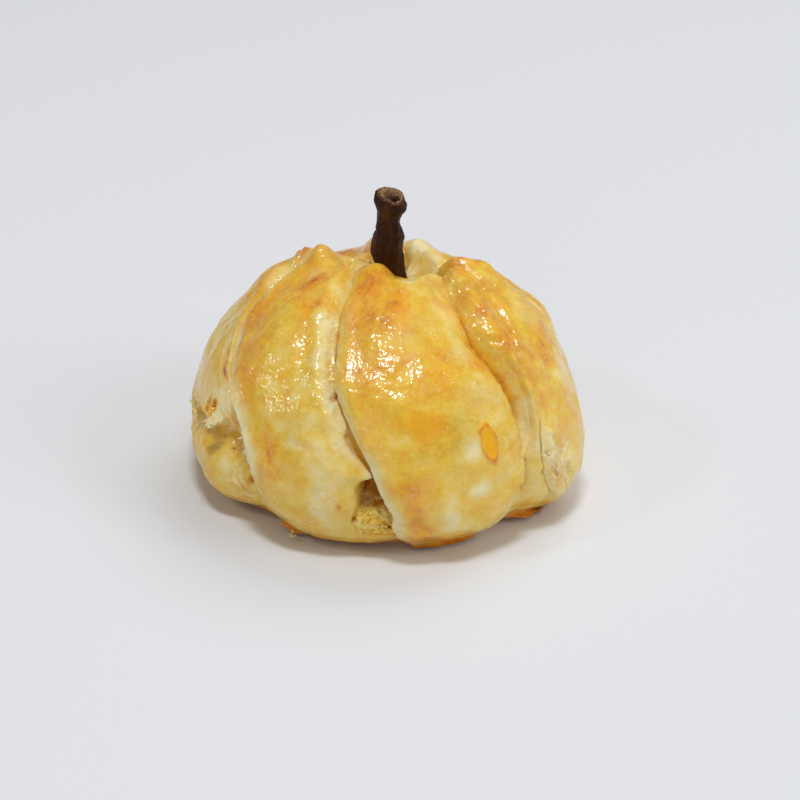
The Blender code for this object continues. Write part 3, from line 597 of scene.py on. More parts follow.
def near_line(route, share, degrees, places):
    """Which points lie close to the line through the route, and for them how far they lie to its right, and
    how much of the line's strength is there, which fades at its ends."""
    ups, turns = np.array(route, float).T
    ups, middle = ups * PERCENT, turns.mean()
    turn = turn_between(degrees, middle)
    near = np.abs(turn) < np.ptp(turns) / 2 + LINE_REACH_DEGREES
    near = near & (share > ups.min() - LINE_REACH_SHARE) & (share < ups.max() + LINE_REACH_SHARE)
    reach, places = meridian(ups)[:, 0].mean(), places[near]
    x = np.radians(turn[near]) * reach + LINE_WAVE * noise(places, LINE_WAVE_SIZE, 97, 2)
    y = share[near] * MERIDIAN_LENGTH + LINE_WAVE * noise(places, LINE_WAVE_SIZE, 101, 2)
    knots = np.stack([np.radians(turns - middle) * reach, ups * MERIDIAN_LENGTH], axis=1)
    lengths = np.linalg.norm(np.diff(knots, axis=0), axis=1)
    starts = np.concatenate([[0], np.cumsum(lengths)])
    side, along = np.full(x.shape, np.inf), np.zeros(x.shape)
    for start, end, length, before in zip(knots[:-1], knots[1:], lengths, starts):
        way = (end - start) / length
        run = np.clip((x - start[0]) * way[0] + (y - start[1]) * way[1], 0, length)
        off = x - start[0] - run * way[0], y - start[1] - run * way[1]
        away = np.hypot(*off)
        nearer = away < np.abs(side)
        side = np.where(nearer, np.copysign(away, off[0] * way[1] - off[1] * way[0]), side)
        along = np.where(nearer, before + run, along)
    along = along / starts[-1]
    return near, side, ramp(along, 0, LINE_ENDS) * ramp(along, 1, 1 - LINE_ENDS)


def away_from(at, turn, share, degrees):
    """How far each point lies to the right of and above this place, in metres along the dome."""
    right = np.radians(turn_between(degrees, turn)) * meridian(np.array([at]))[0, 0]
    return right, (share - at) * MERIDIAN_LENGTH


def saw_tooth(away, spacing):
    """The steps of layers that show edge on, 0 to 1."""
    teeth = (away / spacing) % 1
    return teeth * ramp(teeth, 1.0, 0.75)


def layers(share, degrees, places):
    """For each set of layers: its points, its saw-tooth, how strongly it shows, its drop and its paint."""
    for route, *sizes in LAYERS:
        to_left, to_right, drop = MM * np.array(sizes)
        near, side, there = near_line(route, share, degrees, places)
        shown = ramp(side, -to_left - LAYER_FADE, -to_left) * ramp(side, to_right + LAYER_FADE, to_right)
        yield near, saw_tooth(side, LAYER_SPACING), there * shown, drop, LAYER_PAINT
    for at, turn, inner, outer, drop in SHELLS:
        right, up = away_from(at, turn, share, degrees)
        near = np.hypot(right, up) < outer + 0.002
        away = np.hypot(right, SHELL_FLATNESS * up)[near] + 0.0005 * noise(places[near], 0.0034, 173, 3)
        shown = ramp(away, inner, inner + LAYER_FADE) * ramp(away, outer, outer - 1.5 * LAYER_FADE)
        shown = shown * ramp(noise(places[near], 0.0040, 179, 2), -0.6, 0.1)
        shown = shown * ramp(right[near], 0.0012, -0.0012)
        yield near, saw_tooth(-away, SHELL_SPACING), shown, drop, SHELL_PAINT


def holes(share, degrees, places):
    """How deep each point lies in a hole, and how much it is inside one, added up over the holes."""
    depth, inside = 0, 0
    ragged = [0.5 * noise(places, 0.0016, seed) for seed in (103, 107)]
    for at, turn, wide, tall, deep in HOLES:
        right, up = away_from(at, turn, share, degrees)
        here = ramp(np.hypot(right / wide + ragged[0], up / tall + ragged[1]), 1.25, 0.75)
        depth, inside = depth + deep * here, inside + here
    return depth, inside


def blister_shape(share, degrees, places):
    """(rim, inside) of the caramel blister, each 0 to 1."""
    at, turn, wide, tall, lean = BLISTER
    right, up = away_from(at, turn, share, degrees)
    away = np.hypot((right - lean * up) / wide, up / tall) + 0.16 * noise(places, 0.0022, 167, 2)
    return bell((away - 1) / 0.17), ramp(away, 1.0, 0.8)


def add_relief(share, degrees, lift):
    """The lift with everything added that stands on the folds and flaps or is sunk into them."""
    places, percent = on_pie(share, degrees, 0 * lift), share / PERCENT
    for name, offset, width, heights in RIDGES:
        low, high = heights[0][0], heights[-1][0]
        ends = ramp(percent, low - RIDGE_FADE, low) * ramp(percent, high + RIDGE_FADE, high)
        away = (seam_distance(name, share, degrees) / MM - offset) / width
        lift = lift + MM * ends * smooth_curve(heights, percent) * bell(away)
    for at, turn, height, across, along in [*LUMPS, *CRISP_KNOBS[:, [0, 1, 2, 3, 3]]]:
        centre, right, up, out = directions(at, turn)
        off = places - centre
        lift = lift + height * bell(off @ right / across, off @ up / along, off @ out / along)
    tear = smooth_curve(TEAR_ROUTE, degrees) + 0.008 * noise(places, 0.0035, 23, 2)
    inside = ramp(degrees, *TEAR_LEFT) * ramp(degrees, *TEAR_RIGHT)
    below = ramp(share, tear, tear - TEAR_STEP) * ramp(share, tear - TEAR_RUN, tear - 2 * TEAR_STEP)
    lift = lift - TEAR_DEPTH * inside * below
    for route, half, height, drop, _, _ in MARKS:
        near, side, there = near_line(route, share, degrees, places)
        off = side / MM / half
        step = drop * ramp(off, -0.5, 0.5) * bell(np.maximum(off, 0) / 6)
        lift[near] += MM * there * (height * bell(off) - step)
    for near, teeth, shown, drop, _ in layers(share, degrees, places):
        lift[near] -= drop * shown * teeth
    rim, floor = blister_shape(share, degrees, places)
    lift = lift - holes(share, degrees, places)[0] + BLISTER_RIM * rim + BLISTER_FLOOR * floor
    for name, offset, half, low, high, size, height in CRUMPLES:
        away = (seam_distance(name, share, degrees) / MM - offset) / half
        there = ramp(percent, low, low + RIDGE_FADE) * ramp(percent, high, high - RIDGE_FADE) * bell(away)
        lift = lift + MM * height * there * noise(places, MM * size, 109, 2)
    return lift


def skirt_reach(share, degrees):
    """How far the crisp skirts push the foot outwards."""
    x, y = turned(PIE_RADIUS, degrees)
    rim = np.stack([x, -y, 0 * x], axis=-1)
    ragged = 1 + 0.45 * noise(rim, 0.0035, 113, 3)
    reach = sum(far * bell(((degrees - at) / half) ** 2) for at, half, far in SKIRTS)
    return bell((share - SKIRT_SHARE) / SKIRT_WIDTH) * (reach * ragged + SKIRT_ALL_ROUND)


def grid_normals(rows):
    """Outward normal at every point of rows that close on themselves sideways."""
    beside = np.roll(rows, -1, 1) - np.roll(rows, 1, 1)
    normal = np.cross(beside, np.gradient(rows, axis=0))
    return normal / np.maximum(np.linalg.norm(normal, axis=-1, keepdims=True), 1e-12)


def streaked(share, degrees, stretch):
    """Places for unevenness that is drawn out up the side of the pie."""
    x, y = turned(0.045, degrees)
    return np.stack([x, -y, share * MERIDIAN_LENGTH / stretch], axis=-1)


# Bumps of the baked skin, coarse to fine: (height, size, seed, octaves)
SKIN_BUMPS = [(0.44, 13, 61, 2), (0.21, 4.6, 67, 1), (0.08, 2.4, 71, 1), (0.03, 1.2, 73, 1)]
STREAKS, MORE_STREAKS, BUBBLES = 0.00004, 0.00012, 0.00022  # heights; the left flaps have more streaks
STREAKED_FROM, STREAKED_TO = (-110, -100), (-44, -52)


def small_relief(share, degrees, places):
    """Height of the fine bumps, streaks and blisters of the baked skin."""
    height = sum(MM * high * noise(places, MM * size, *rest) for high, size, *rest in SKIN_BUMPS)
    left = ramp(degrees, *STREAKED_TO) * ramp(degrees, *STREAKED_FROM)
    height = height + (STREAKS + MORE_STREAKS * left) * noise(streaked(share, degrees, 5), 0.0022, 79, 2)
    return height + BUBBLES * blisters(places, 0.0034, 83, 0.25) * ramp(noise(places, 0.012, 89), 0.0, 0.4)


# ----------------------------------------------------------------------------------------------------
# Meshes


def linked(name, data):
    """A new object in the scene."""
    made = bpy.data.objects.new(name, data)
    bpy.context.scene.collection.objects.link(made)
    return made


def new_piece(name, points, faces, fields):
    """A piece of one or more closed shapes, with a number per point for each field."""
    mesh = bpy.data.meshes.new(name)
    mesh.from_pydata(points + PIE_AXIS, [], faces)
    for field, values in fields.items():
        mesh.attributes.new(field, "FLOAT", "POINT").data.foreach_set("value", values.astype(np.float32))
    mesh.shade_smooth()
    return linked(name, mesh)


def closed_piece(name, rows, first_pole, last_pole, fields):
    """A piece made of rings of points, each end shut by a fan round its pole."""
    around = rows.shape[1]
    ring = np.arange(rows.shape[0] * around).reshape(-1, around)
    after, pole = np.roll(ring, -1, 1), np.full(around, ring.size)
    quads = np.stack([ring[:-1], after[:-1], after[1:], ring[1:]], axis=-1).reshape(-1, 4)
    fans = np.concatenate([[pole, after[0], ring[0]], [pole + 1, ring[-1], after[-1]]], axis=1).T
    points = np.concatenate([rows.reshape(-1, 3), [first_pole, last_pole]])
    fields = {field: np.append(v.ravel(), [v[0].mean(), v[-1].mean()]) for field, v in fields.items()}
    return new_piece(name, points, quads.tolist() + fans.tolist(), fields)


# ----------------------------------------------------------------------------------------------------
# Painting of the pastry: fields from 0 to 1. bake runs from pale dough to dark brown, olive is a greenish
# tint, partly that of thick soft pastry and partly painted shade in creases and hollows, chalk the dry bloom
# where no glaze is, amber caramel, wash the glaze

# Dabs, where the photo shows them: (degrees, share, half width, half height, lean, value, strength).
# The half width and lean are in degrees, the lean for each 10 percent of share
DAB_UNITS = (1, PERCENT, 1, PERCENT, 1, PERCENT, PERCENT)
BAKE_DABS = DAB_UNITS * np.array([
    # far left flap
    (-92, 52, 9, 6, -8, 12, 80), (-90, 68, 9, 3, -20, 10, 70), (-80, 56, 9, 5, -16, 34, 60),
    (-82, 48, 6, 1.6, -20, 62, 80), (-88, 50, 4, 1.2, -20, 50, 70), (-66, 50.3, 2.6, 1, -30, 84, 90),
    (-74, 54.5, 5, 1.2, -22, 16, 60), (-62, 46, 6, 2.8, -10, 8, 90), (-76, 43, 9, 2, -10, 28, 70),
    (-64, 42.8, 1.6, 2, 6, 70, 80), (-60, 41.5, 2.6, 1.2, 20, 10, 90), (-72, 37.2, 10, 1.6, 16, 52, 90),
    (-56, 37, 3, 3, 0, 46, 80), (-50, 38, 3, 1.6, 0, 50, 80), (-53, 32.5, 2.4, 4, 0, 12, 70),
    (-44.5, 32.2, 1.2, 1.6, 3, 88, 90), (-58, 31, 4, 2.5, 0, 54, 70), (-47, 27.5, 3, 3, 0, 60, 70),
    (-80, 34, 8, 1.4, 10, 40, 60), (-66, 30, 9, 2.5, 0, 44, 70), (-60, 24.5, 12, 1.8, 0, 72, 80),
    # left centre flap
    (-108, 72.8, 8, 1.6, 0, 80, 95), (-100, 76.5, 9, 1.6, 0, 62, 80), (-80, 79, 9, 1.6, 0, 40, 70),
    (-66, 72.8, 3.4, 2.2, -10, 62, 70), (-60, 70.5, 6, 2, -14, 54, 70), (-70, 71, 5, 2.2, -18, 58, 70),
    (-73, 64.5, 7, 2.2, -20, 66, 90), (-64, 60.5, 6, 2.4, -16, 64, 80), (-57, 56, 5, 3.2, -16, 66, 85),
    (-50.5, 50.5, 4, 3, -12, 64, 85), (-84, 69, 6, 1.6, -22, 52, 70), (-56, 66.5, 8, 3, -12, 36, 70),
    (-47, 62, 6, 4, -10, 34, 70), (-44, 56, 6, 3, -8, 38, 60), (-48, 75.5, 7, 1.8, -16, 14, 80),
    (-37, 69, 6, 3, -14, 12, 90), (-29, 62.5, 4.4, 4, -10, 10, 90), (-20, 55.5, 3.2, 4, -10, 6, 90),
    (-31, 56, 6, 3, -6, 22, 80), (-24, 50, 6, 2.4, -4, 16, 80), (-36, 52, 5, 2, -6, 42, 60),
    (-28, 45, 4, 1.4, 0, 22, 80), (-33.8, 42.5, 1.6, 2.2, 2, 62, 90), (-41, 47, 4, 2.2, -8, 44, 70),
    (-36.5, 37.5, 4, 5, 0, 48, 80), (-25, 40, 4.4, 2.4, 0, 46, 70), (-17, 42, 4.4, 3, 0, 10, 90),
    (-14, 48, 3.4, 3.6, -9, 10, 90), (-18.5, 34.5, 2.6, 5, -1, 8, 95), (-12.4, 34.2, 0.7, 0.9, 0, 74, 90),
    (-28, 32, 5, 3, 0, 44, 70), (-21, 27.2, 5, 1.8, 0, 38, 70), (-34, 27, 4, 3, 0, 50, 70),
    # This dab darkens the foot: its browned underside, and painted shade under the overhang
    (-21, 22.2, 8, 1.4, 0, 90, 90),
    # front flap
    (-23, 80, 13, 4.5, 0, 66, 90), (-12, 75.5, 9, 2, 0, 60, 80), (16, 82.5, 12, 2.2, 0, 10, 80),
    (34, 79, 10, 2.2, 0, 16, 70), (20, 77.7, 8, 0.6, 0, 40, 60), (12, 79.5, 9, 1, 0, 14, 60),
    (4, 75.2, 5, 1.1, 4, 78, 95), (-3, 71, 3.6, 1.3, 6, 92, 95), (24, 72.5, 11, 3.5, 0, 40, 80),
    (33, 66.5, 5, 5, 0, 20, 80), (-12, 64, 7, 5, -6, 60, 80), (4, 64, 7, 4, 0, 54, 70),
    (21, 60.5, 9, 3.6, 4, 52, 80), (7, 57.5, 7, 2.2, 0, 46, 70), (-6, 57, 4, 3, -5, 48, 70),
    (12, 52, 6.5, 2.8, 0, 66, 95), (2, 52, 3, 2, 0, 58, 70), (34, 56, 8, 4, 0, 22, 80),
    (23, 53, 4, 3, 0, 30, 80), (38, 50, 4, 4, 0, 24, 80), (26.5, 46, 3, 3, 0, 10, 80),
    (0, 46.2, 4, 2.4, 0, 44, 70), (9, 44, 6, 2.4, 0, 38, 70), (18, 43, 4, 3, 0, 34, 70),
    (3, 40.5, 4, 2.2, -3, 56, 80), (-4.5, 42.5, 1.6, 3, -6, 10, 90), (8, 34.5, 2.4, 5, 0, 60, 90),
    (13, 38, 3.4, 2, 0, 46, 70), (27, 37.5, 3.6, 1.8, 0, 8, 90), (18, 32.5, 2.6, 4.5, 0, 10, 90),
    (24, 30, 3, 3, 0, 20, 70), (30, 33.5, 4, 2.2, 0, 36, 60), (37, 39, 4, 3, 0, 30, 70),
    (34, 29, 4, 3, 0, 44, 70), (10, 30, 3, 4, -4, 66, 80), (22, 26.2, 5, 1.6, 0, 50, 70),
    (13, 24.5, 9, 2.8, -4, 80, 90), (16, 22.6, 6, 1.4, 0, 92, 90), (4.5, 27.5, 1.6, 3, -4, 78, 80),
    (28, 23.2, 7, 1.4, 0, 82, 80), (3, 33.5, 1.3, 4, -5, 12, 80),
    # hollow, painted pale: partly its own pale pastry, partly painted light on the back lobe where it lies in
    # shade; and right roll
    (140, 86, 40, 7, 0, 8, 95), (158, 79, 24, 3, 0, 26, 70), (40, 86, 30, 2, 0, 16, 70),
    (-90, 83.5, 22, 2, 0, 14, 80), (62, 78.5, 9, 2, 12, 40, 70), (53, 75.2, 4, 1.6, 12, 44, 80),
    (56, 73.5, 7, 2, 10, 56, 80), (65, 73.5, 6, 1.6, 16, 62, 80), (49, 70.5, 3, 2.4, 8, 34, 80),
    (54, 66.5, 3.4, 2, 2, 66, 80), (55, 63.2, 4.4, 2.2, 2, 74, 90), (55.5, 59.7, 1.5, 1.4, 0, 70, 80),
    (47, 60, 2.2, 5, -5, 30, 80), (50, 57.5, 3.4, 3, 0, 42, 70), (50.2, 52.6, 0.8, 0.7, 0, 82, 90),
    (51, 49.5, 3.4, 4, 0, 18, 85), (49, 42, 3.2, 5, 0, 14, 90), (42.2, 34.6, 1.4, 1, 0, 86, 90),
    (49, 34, 2.4, 3, 0, 20, 80), (50, 29, 4, 2.6, 0, 30, 70), (50, 24, 6, 1.4, 0, 62, 80),
    # right flap
    (64, 61.2, 5, 2.4, 6, 68, 90), (69, 57.5, 9, 3.6, 4, 66, 80), (62, 53.8, 4, 1.8, 0, 62, 80),
    (60, 50, 4, 1.8, 0, 52, 70), (76, 64, 8, 2.6, 8, 40, 80), (88, 72, 8, 1.8, 14, 38, 80),
    (96, 79.2, 7, 1, 10, 74, 80), (80, 51, 9, 3, 0, 14, 80), (66, 47, 6, 1.6, 0, 42, 60),
    (58, 45.2, 3, 1.4, 0, 22, 80), (70, 44, 8, 3, 0, 50, 70), (72, 39.5, 6, 1.8, 0, 44, 70),
    (62, 35.2, 5, 3, 0, 24, 80), (72, 34, 7, 2.4, 0, 26, 80), (62, 29, 7, 2.2, 0, 26, 80),
    (66, 23.8, 12, 1.6, 0, 80, 80),
])
OLIVE_DABS = DAB_UNITS * np.array([
    # The first two dabs paint the olive shade in the hollow below the tear
    (-70, 37.6, 10, 1.8, 16, 95, 90), (-54, 39.2, 5, 2, 0, 85, 80), (-90, 56, 14, 6, -10, 60, 80),
    (-72, 56, 6, 1.6, -20, 70, 80), (-56, 66.5, 8, 3, -12, 45, 70), (-46, 62, 6, 4, -10, 50, 70),
    (-38, 54, 6, 3, -8, 40, 70), (-28, 44.8, 4.4, 1.6, 0, 75, 80), (-25, 50, 6, 2, -4, 50, 70),
    (-12, 48, 3, 2, -6, 60, 70), (-52, 37.5, 4, 2, 0, 60, 70), (23, 56, 2.4, 1.6, 0, 60, 80),
    (22.5, 51.5, 3.4, 2.4, 2, 95, 90), (21, 47, 4.4, 1.6, 0, 90, 90), (12, 45.5, 5, 1.4, 0, 50, 70),
    (20, 42, 5, 1.4, 0, 45, 70), (38, 66, 4, 5, 4, 40, 70), (41, 52, 2.4, 4, -3, 55, 80),
    (48, 44, 3, 6, 0, 35, 80), (48, 75.2, 4, 1.6, 12, 50, 70), (52, 34, 4, 4, 0, 25, 70),
    (48, 25, 4, 2, 0, 50, 70), (-76, 83.5, 12, 1.4, 0, 55, 80), (-35, 29, 4, 3, 0, 30, 60),
    (22, 80, 12, 1.8, 0, 25, 60),
])
CHALK_DABS = DAB_UNITS * np.array([
    (-75, 75.5, 9, 2.2, 0, 42, 75), (-49.5, 49, 2.4, 3, -16, 60, 80), (90, 67, 8, 2.5, 0, 30, 70),
    # The first dab, at 150 degrees, pales the back lobe beside the stem: partly its own pale pastry, partly
    # painted light where it lies in shade
    (150, 83, 34, 5, 0, 60, 80), (-60, 60, 5, 6, -16, 28, 70), (66, 56, 10, 5, 0, 25, 70),
    # The first two dabs here pale the low right flaps: partly their pale flaky pastry, partly painted light
    # where they lie in shade
    (62, 37, 8, 4, 0, 75, 85), (50, 44, 3.4, 4, 0, 75, 85), (-108, 72.8, 9, 1.8, 0, 50, 90),
    (-14, 48, 3.4, 3, -9, 80, 90), (-19, 44.5, 4, 2.2, -4, 55, 80), (-9, 44.5, 1.8, 2, -9, 80, 90),
    (-17, 41.5, 4, 2, 0, 55, 80), (-16, 37.5, 3, 2.2, 0, 75, 90), (66, 34.5, 8, 3, 0, 40, 70),
    (-30, 64, 4.4, 4.4, -10, 70, 80), (-20.5, 56, 2.6, 3.6, -10, 95, 95), (-15, 50.8, 2.2, 2, -9, 85, 90),
    (-39, 70, 5, 2.6, -14, 55, 70), (-47, 76, 6, 1.6, -16, 45, 70), (-62, 46, 5, 2.4, -10, 70, 90),
    (-60, 41.5, 2.4, 1, 20, 30, 80), (-92, 67, 9, 2, -20, 60, 70), (-94, 52, 8, 5, -6, 60, 70),
    (-18.5, 35, 2.2, 4.4, -1, 85, 90), (-27, 45, 3, 1.2, 0, 45, 80), (-53, 32.5, 2, 3.6, 0, 40, 80),
    (27, 37.5, 3.4, 1.6, 0, 80, 95), (17.8, 33, 1.8, 4.2, 0, 70, 90), (26.5, 46, 2.6, 2.6, 0, 40, 80),
    (24, 30, 2.6, 3, 0, 30, 70), (-4, 42, 1.6, 3, -6, 45, 80), (2.8, 34, 1.2, 4, -5, 40, 80),
    (62.8, 47.1, 1.1, 0.5, 0, 100, 100), (80, 50, 9, 3, 0, 40, 80), (34, 73.5, 12, 4, 0, 45, 75),
    (36, 56, 5, 3, 0, 40, 75), (85, 62, 9, 3.5, 0, 50, 80), (-59, 54, 3.6, 5, -16, 35, 70),
    (-47, 80.5, 8, 2, 0, 45, 70), (51, 48, 3, 5, 0, 45, 80), (-14.5, 35.2, 2.2, 3.4, 0, 80, 85),
    (66, 74.7, 7, 0.8, 14, 30, 60), (54, 40, 1.4, 3.6, 0, 50, 80), (84, 38, 6, 3, 0, 50, 70),
])
AMBER_DABS = DAB_UNITS * np.array([
    (10, 52.5, 7.5, 3.2, 2, 55, 90), (13, 49.7, 2.4, 1, 2, 60, 90), (-2.5, 70.8, 2.8, 1.2, 4, 45, 90),
    (4, 75, 4, 1, 4, 25, 80), (13, 24, 9, 2.4, -4, 50, 80), (66, 23.6, 12, 1.8, 0, 40, 80),
    (-22, 22.2, 8, 1.4, 0, 45, 80), (-7.5, 47.8, 2, 1.8, -6, 50, 80), (49, 70, 2.6, 3, 8, 35, 80),
    (45.5, 62, 1.6, 3, -6, 50, 80), (20, 61, 7, 2, 4, 35, 70),
])
RAGGED, RAGGED_FROM = 0.55, 0.024  # how ragged a dab's edge is, and the half height below which it is less so


def painted(values, dabs, share, degrees, ragged):
    """The field's values with the dabs laid over it in turn, with ragged edges."""
    for turn, at, wide, tall, lean, target, strength in dabs:
        size = RAGGED * min(1.0, tall / RAGGED_FROM)
        up = (share - at) / tall + size * ragged[0]
        away = (degrees - turn - lean * (share - at) / 0.1) / wide + size * ragged[1]
        values = values + (target - values) * strength * np.exp(-((away**2 + up**2) ** 1.4))
    return values


PLAIN_BAKE, PLAIN_OLIVE, PLAIN_CHALK, PLAIN_WASH = 0.43, 0.20, 0.02, 0.75
FOOT_BAKE, CUT_BAKE, SLIT_BAKE, RIM_BAKE = 0.86, 0.05, 0.36, 0.74  # RIM is that of the caramel blister
FOOT_SHARE, FOOT_WIDTH = 0.170, 0.020
# What a seam adds to bake, olive and chalk beside it in the upper part of the pie; lower down it is as usual.
# The olive beside a seam is painted shade in its crease; the paler bake and chalk are the pale pastry of the
# fold
SEAM_PAINT = {
    "front_gap": (-0.22, 0.0, 0.22), "left_front": (-0.20, 0.1, 0.22), "front_right": (-0.08, 0.45, 0.02),
    "right_pleat": (0.02, 0.15, 0.04), "right_side": (-0.05, 0.2, 0.08),
}
USUAL_SEAM_PAINT = (-0.14, 0.15, 0.14)
SEAM_PAINT_FROM, SEAM_PAINT_WIDTH = (0.42, 0.56), 0.0028
# Below this the inside of a slit is painted dark, as the shade in the gap
GAP_TOP = (0.45, 0.42)  # below this, the inside of a slit is dark, and above it amber
HIDDEN_SIDE = (118, 100)  # degrees from the front over which the pie gets browner


def seam_paint(share, degrees):
    added, upper = np.zeros((3, *share.shape)), ramp(share, *SEAM_PAINT_FROM)
    for seam in SEAMS:
        near = bell(seam_distance(seam.name, share, degrees) / SEAM_PAINT_WIDTH)
        for i, usual in enumerate(USUAL_SEAM_PAINT):
            here = SEAM_PAINT.get(seam.name, USUAL_SEAM_PAINT)[i]
            added[i] += near * (usual + (here - usual) * upper)
    return added


def mark_paint(share, degrees, places):
    """What the lines, layers and holes add to bake and to chalk."""
    bake, chalk = np.zeros(share.shape), np.zeros(share.shape)
    for route, half, _, _, browner, paler in MARKS:
        near, side, there = near_line(route, share, degrees, places)
        line = there * bell(side / MM / half / PAINT_SPREAD)
        bake[near] += browner * line
        chalk[near] += paler * line
    for near, teeth, shown, _, (level, paler) in layers(share, degrees, places):
        # grooves painted browner as their shade, edges paler
        bake[near] += LAYER_SHADE_BAKE * shown * (teeth - level)
        chalk[near] += paler * shown * (1 - teeth)
    # holes painted browner inside, as their shade
    return bake + HOLE_SHADE_BAKE * holes(share, degrees, places)[1], chalk


def pastry_fields(share, degrees, cut, places):
    """The painted fields of the pastry."""
    streaks = noise(streaked(share, degrees, 3), 0.0030, 29, 2)
    wide, fine = noise(places, 0.012, 31, 3), noise(places, 0.0040, 37, 2)
    ragged = noise(places, 0.0060, 41, 3), noise(places, 0.0060, 43, 3)
    hidden = 1 - ramp(np.abs(turn_between(degrees, 0)), *HIDDEN_SIDE)
    seams, marks = seam_paint(share, degrees), mark_paint(share, degrees, places)
    foot = bell((share - FOOT_SHARE - 0.012 * wide) / FOOT_WIDTH)
    (edge, slit), dark = cut, ramp(share, *GAP_TOP)
    clear = 0.5 * (1 - dark) * slit

    bake = PLAIN_BAKE + 0.14 * wide + seams[0]
    bake = bake + 0.14 * ramp(share, 0.45, 0.72) - 0.07 * ramp(share, 0.42, 0.28)
    bake = bake + hidden * (0.06 + 0.10 * ramp(wide, 0.0, 0.7))
    bake = painted(bake, BAKE_DABS, share, degrees, ragged)
    bake = bake + (FOOT_BAKE - bake) * foot + marks[0]
    bake = bake + 0.08 * fine + 0.05 * streaks * ramp(share, 0.85, 0.70)
    bake = bake + (CUT_BAKE - bake) * 0.85 * edge
    # inside a slit: painted shade low down, where the gap is dark
    bake = bake + (SLIT_BAKE + 0.34 * dark + 0.28 * slit * dark - bake) * np.minimum(1, 2 * slit)

    olive = PLAIN_OLIVE + 0.3 * noise(places, 0.011, 47, 2) + seams[1]
    olive = painted(olive, OLIVE_DABS, share, degrees, ragged) + clear

    chalk = PLAIN_CHALK + 0.20 * noise(places, 0.009, 53, 2) + seams[2]
    chalk = painted(chalk, CHALK_DABS, share, degrees, ragged) * (1 - 0.8 * foot) + marks[1]
    chalk = (chalk + 0.55 * edge) * (1 - slit)

    amber = painted(0 * bake, AMBER_DABS, share, degrees, ragged)
    rim, inside = blister_shape(share, degrees, places)
    bake, chalk, olive = (v + (to - v) * rim * 0.9 for v, to in ((bake, RIM_BAKE), (chalk, 0), (olive, 0)))
    amber = np.maximum(np.maximum(amber, inside * (1 - 0.7 * rim)), clear)
    wash = PLAIN_WASH + 0.5 * noise(places, 0.008, 59, 2) + 0.3 * ramp(share, 0.35, 0.6) - 0.9 * chalk
    fields = {"bake": bake, "olive": olive, "chalk": chalk, "amber": amber, "wash": wash}
    return {name: np.clip(values, 0, 1) for name, values in fields.items()}


# ----------------------------------------------------------------------------------------------------
# The pieces


def make_pastry():
    share = np.concatenate([np.linspace(*row) for row in ROWS])
    degrees, lift, cut = pastry_grid(share)
    share = np.broadcast_to(share[:, None], degrees.shape)
    rows = on_pie(share, degrees, add_relief(share, degrees, lift))
    rows[..., :2] += np.stack(turned(skirt_reach(share, degrees), degrees), axis=-1)
    fields = pastry_fields(share, degrees, cut, rows)
    lifted = small_relief(share, degrees, rows) * ramp(share, 0.15, 0.19)
    rows = rows + lifted[..., None] * grid_normals(rows)
    rows[..., 2] = np.maximum(rows[..., 2], 0)
    return closed_piece("pastry", rows, (0, 0, 0), rows[-1].mean(axis=0), fields)


# Stem, bottom to top: (height, middle across, middle back, half width). Its broken top slopes to the right
# and the front and has a hollow: (rise above the top ring, part of its half width)
STEM_RINGS = MM * np.array([
    (47.5, 1.2, 3, 2.4), (49.5, 1, 3, 2.8), (53, 0.6, 2.9, 3.2), (56, -0.4, 2.8, 3.5), (59, -1.5, 2.6, 4),
    (62, -1.8, 2.5, 4.3), (64.8, -1.7, 2.5, 4.2), (67.4, -1.6, 2.5, 3.5), (69.8, -1.7, 2.5, 3),
    (71.9, -1.6, 2.4, 3.3), (73.7, -1.4, 2.3, 3.9), (75.3, -1.4, 2.2, 4.3), (76.5, -1.5, 2.1, 4),
])
STEM_SIDES, STEM_ROWS, MOUTH_ROWS = 160, 150, 29
STEM_TIP = 0.0006
BROKEN_FROM, BROKEN_TO = 0.0698, 0.0753  # the heights between which the stem leans over to its broken top
BROKEN_SLOPE = (-0.26, 0.22)
STEM_MOUTH = (MM, 1) * np.array([(0, 1), (0.8, 0.8), (0.6, 0.66), (-0.4, 0.52), (-1.4, 0.4), (-1.9, 0.24)])
STEM_MOUTH_ASIDE = 0.0013
# Grooves down its sides: (degrees, depth as a part of the stem's half width, half width in degrees)
STEM_GROOVES = [(-14, 0.10, 20), (62, 0.05, 26), (150, 0.08, 30), (-110, 0.06, 34)]
KNOBBLE, KNOBBLES_PER_TURN, KNOBBLE_TWIST = 0.05, 3, 900
STEM_GRAIN_STRETCH = (1, 1, 0.28)


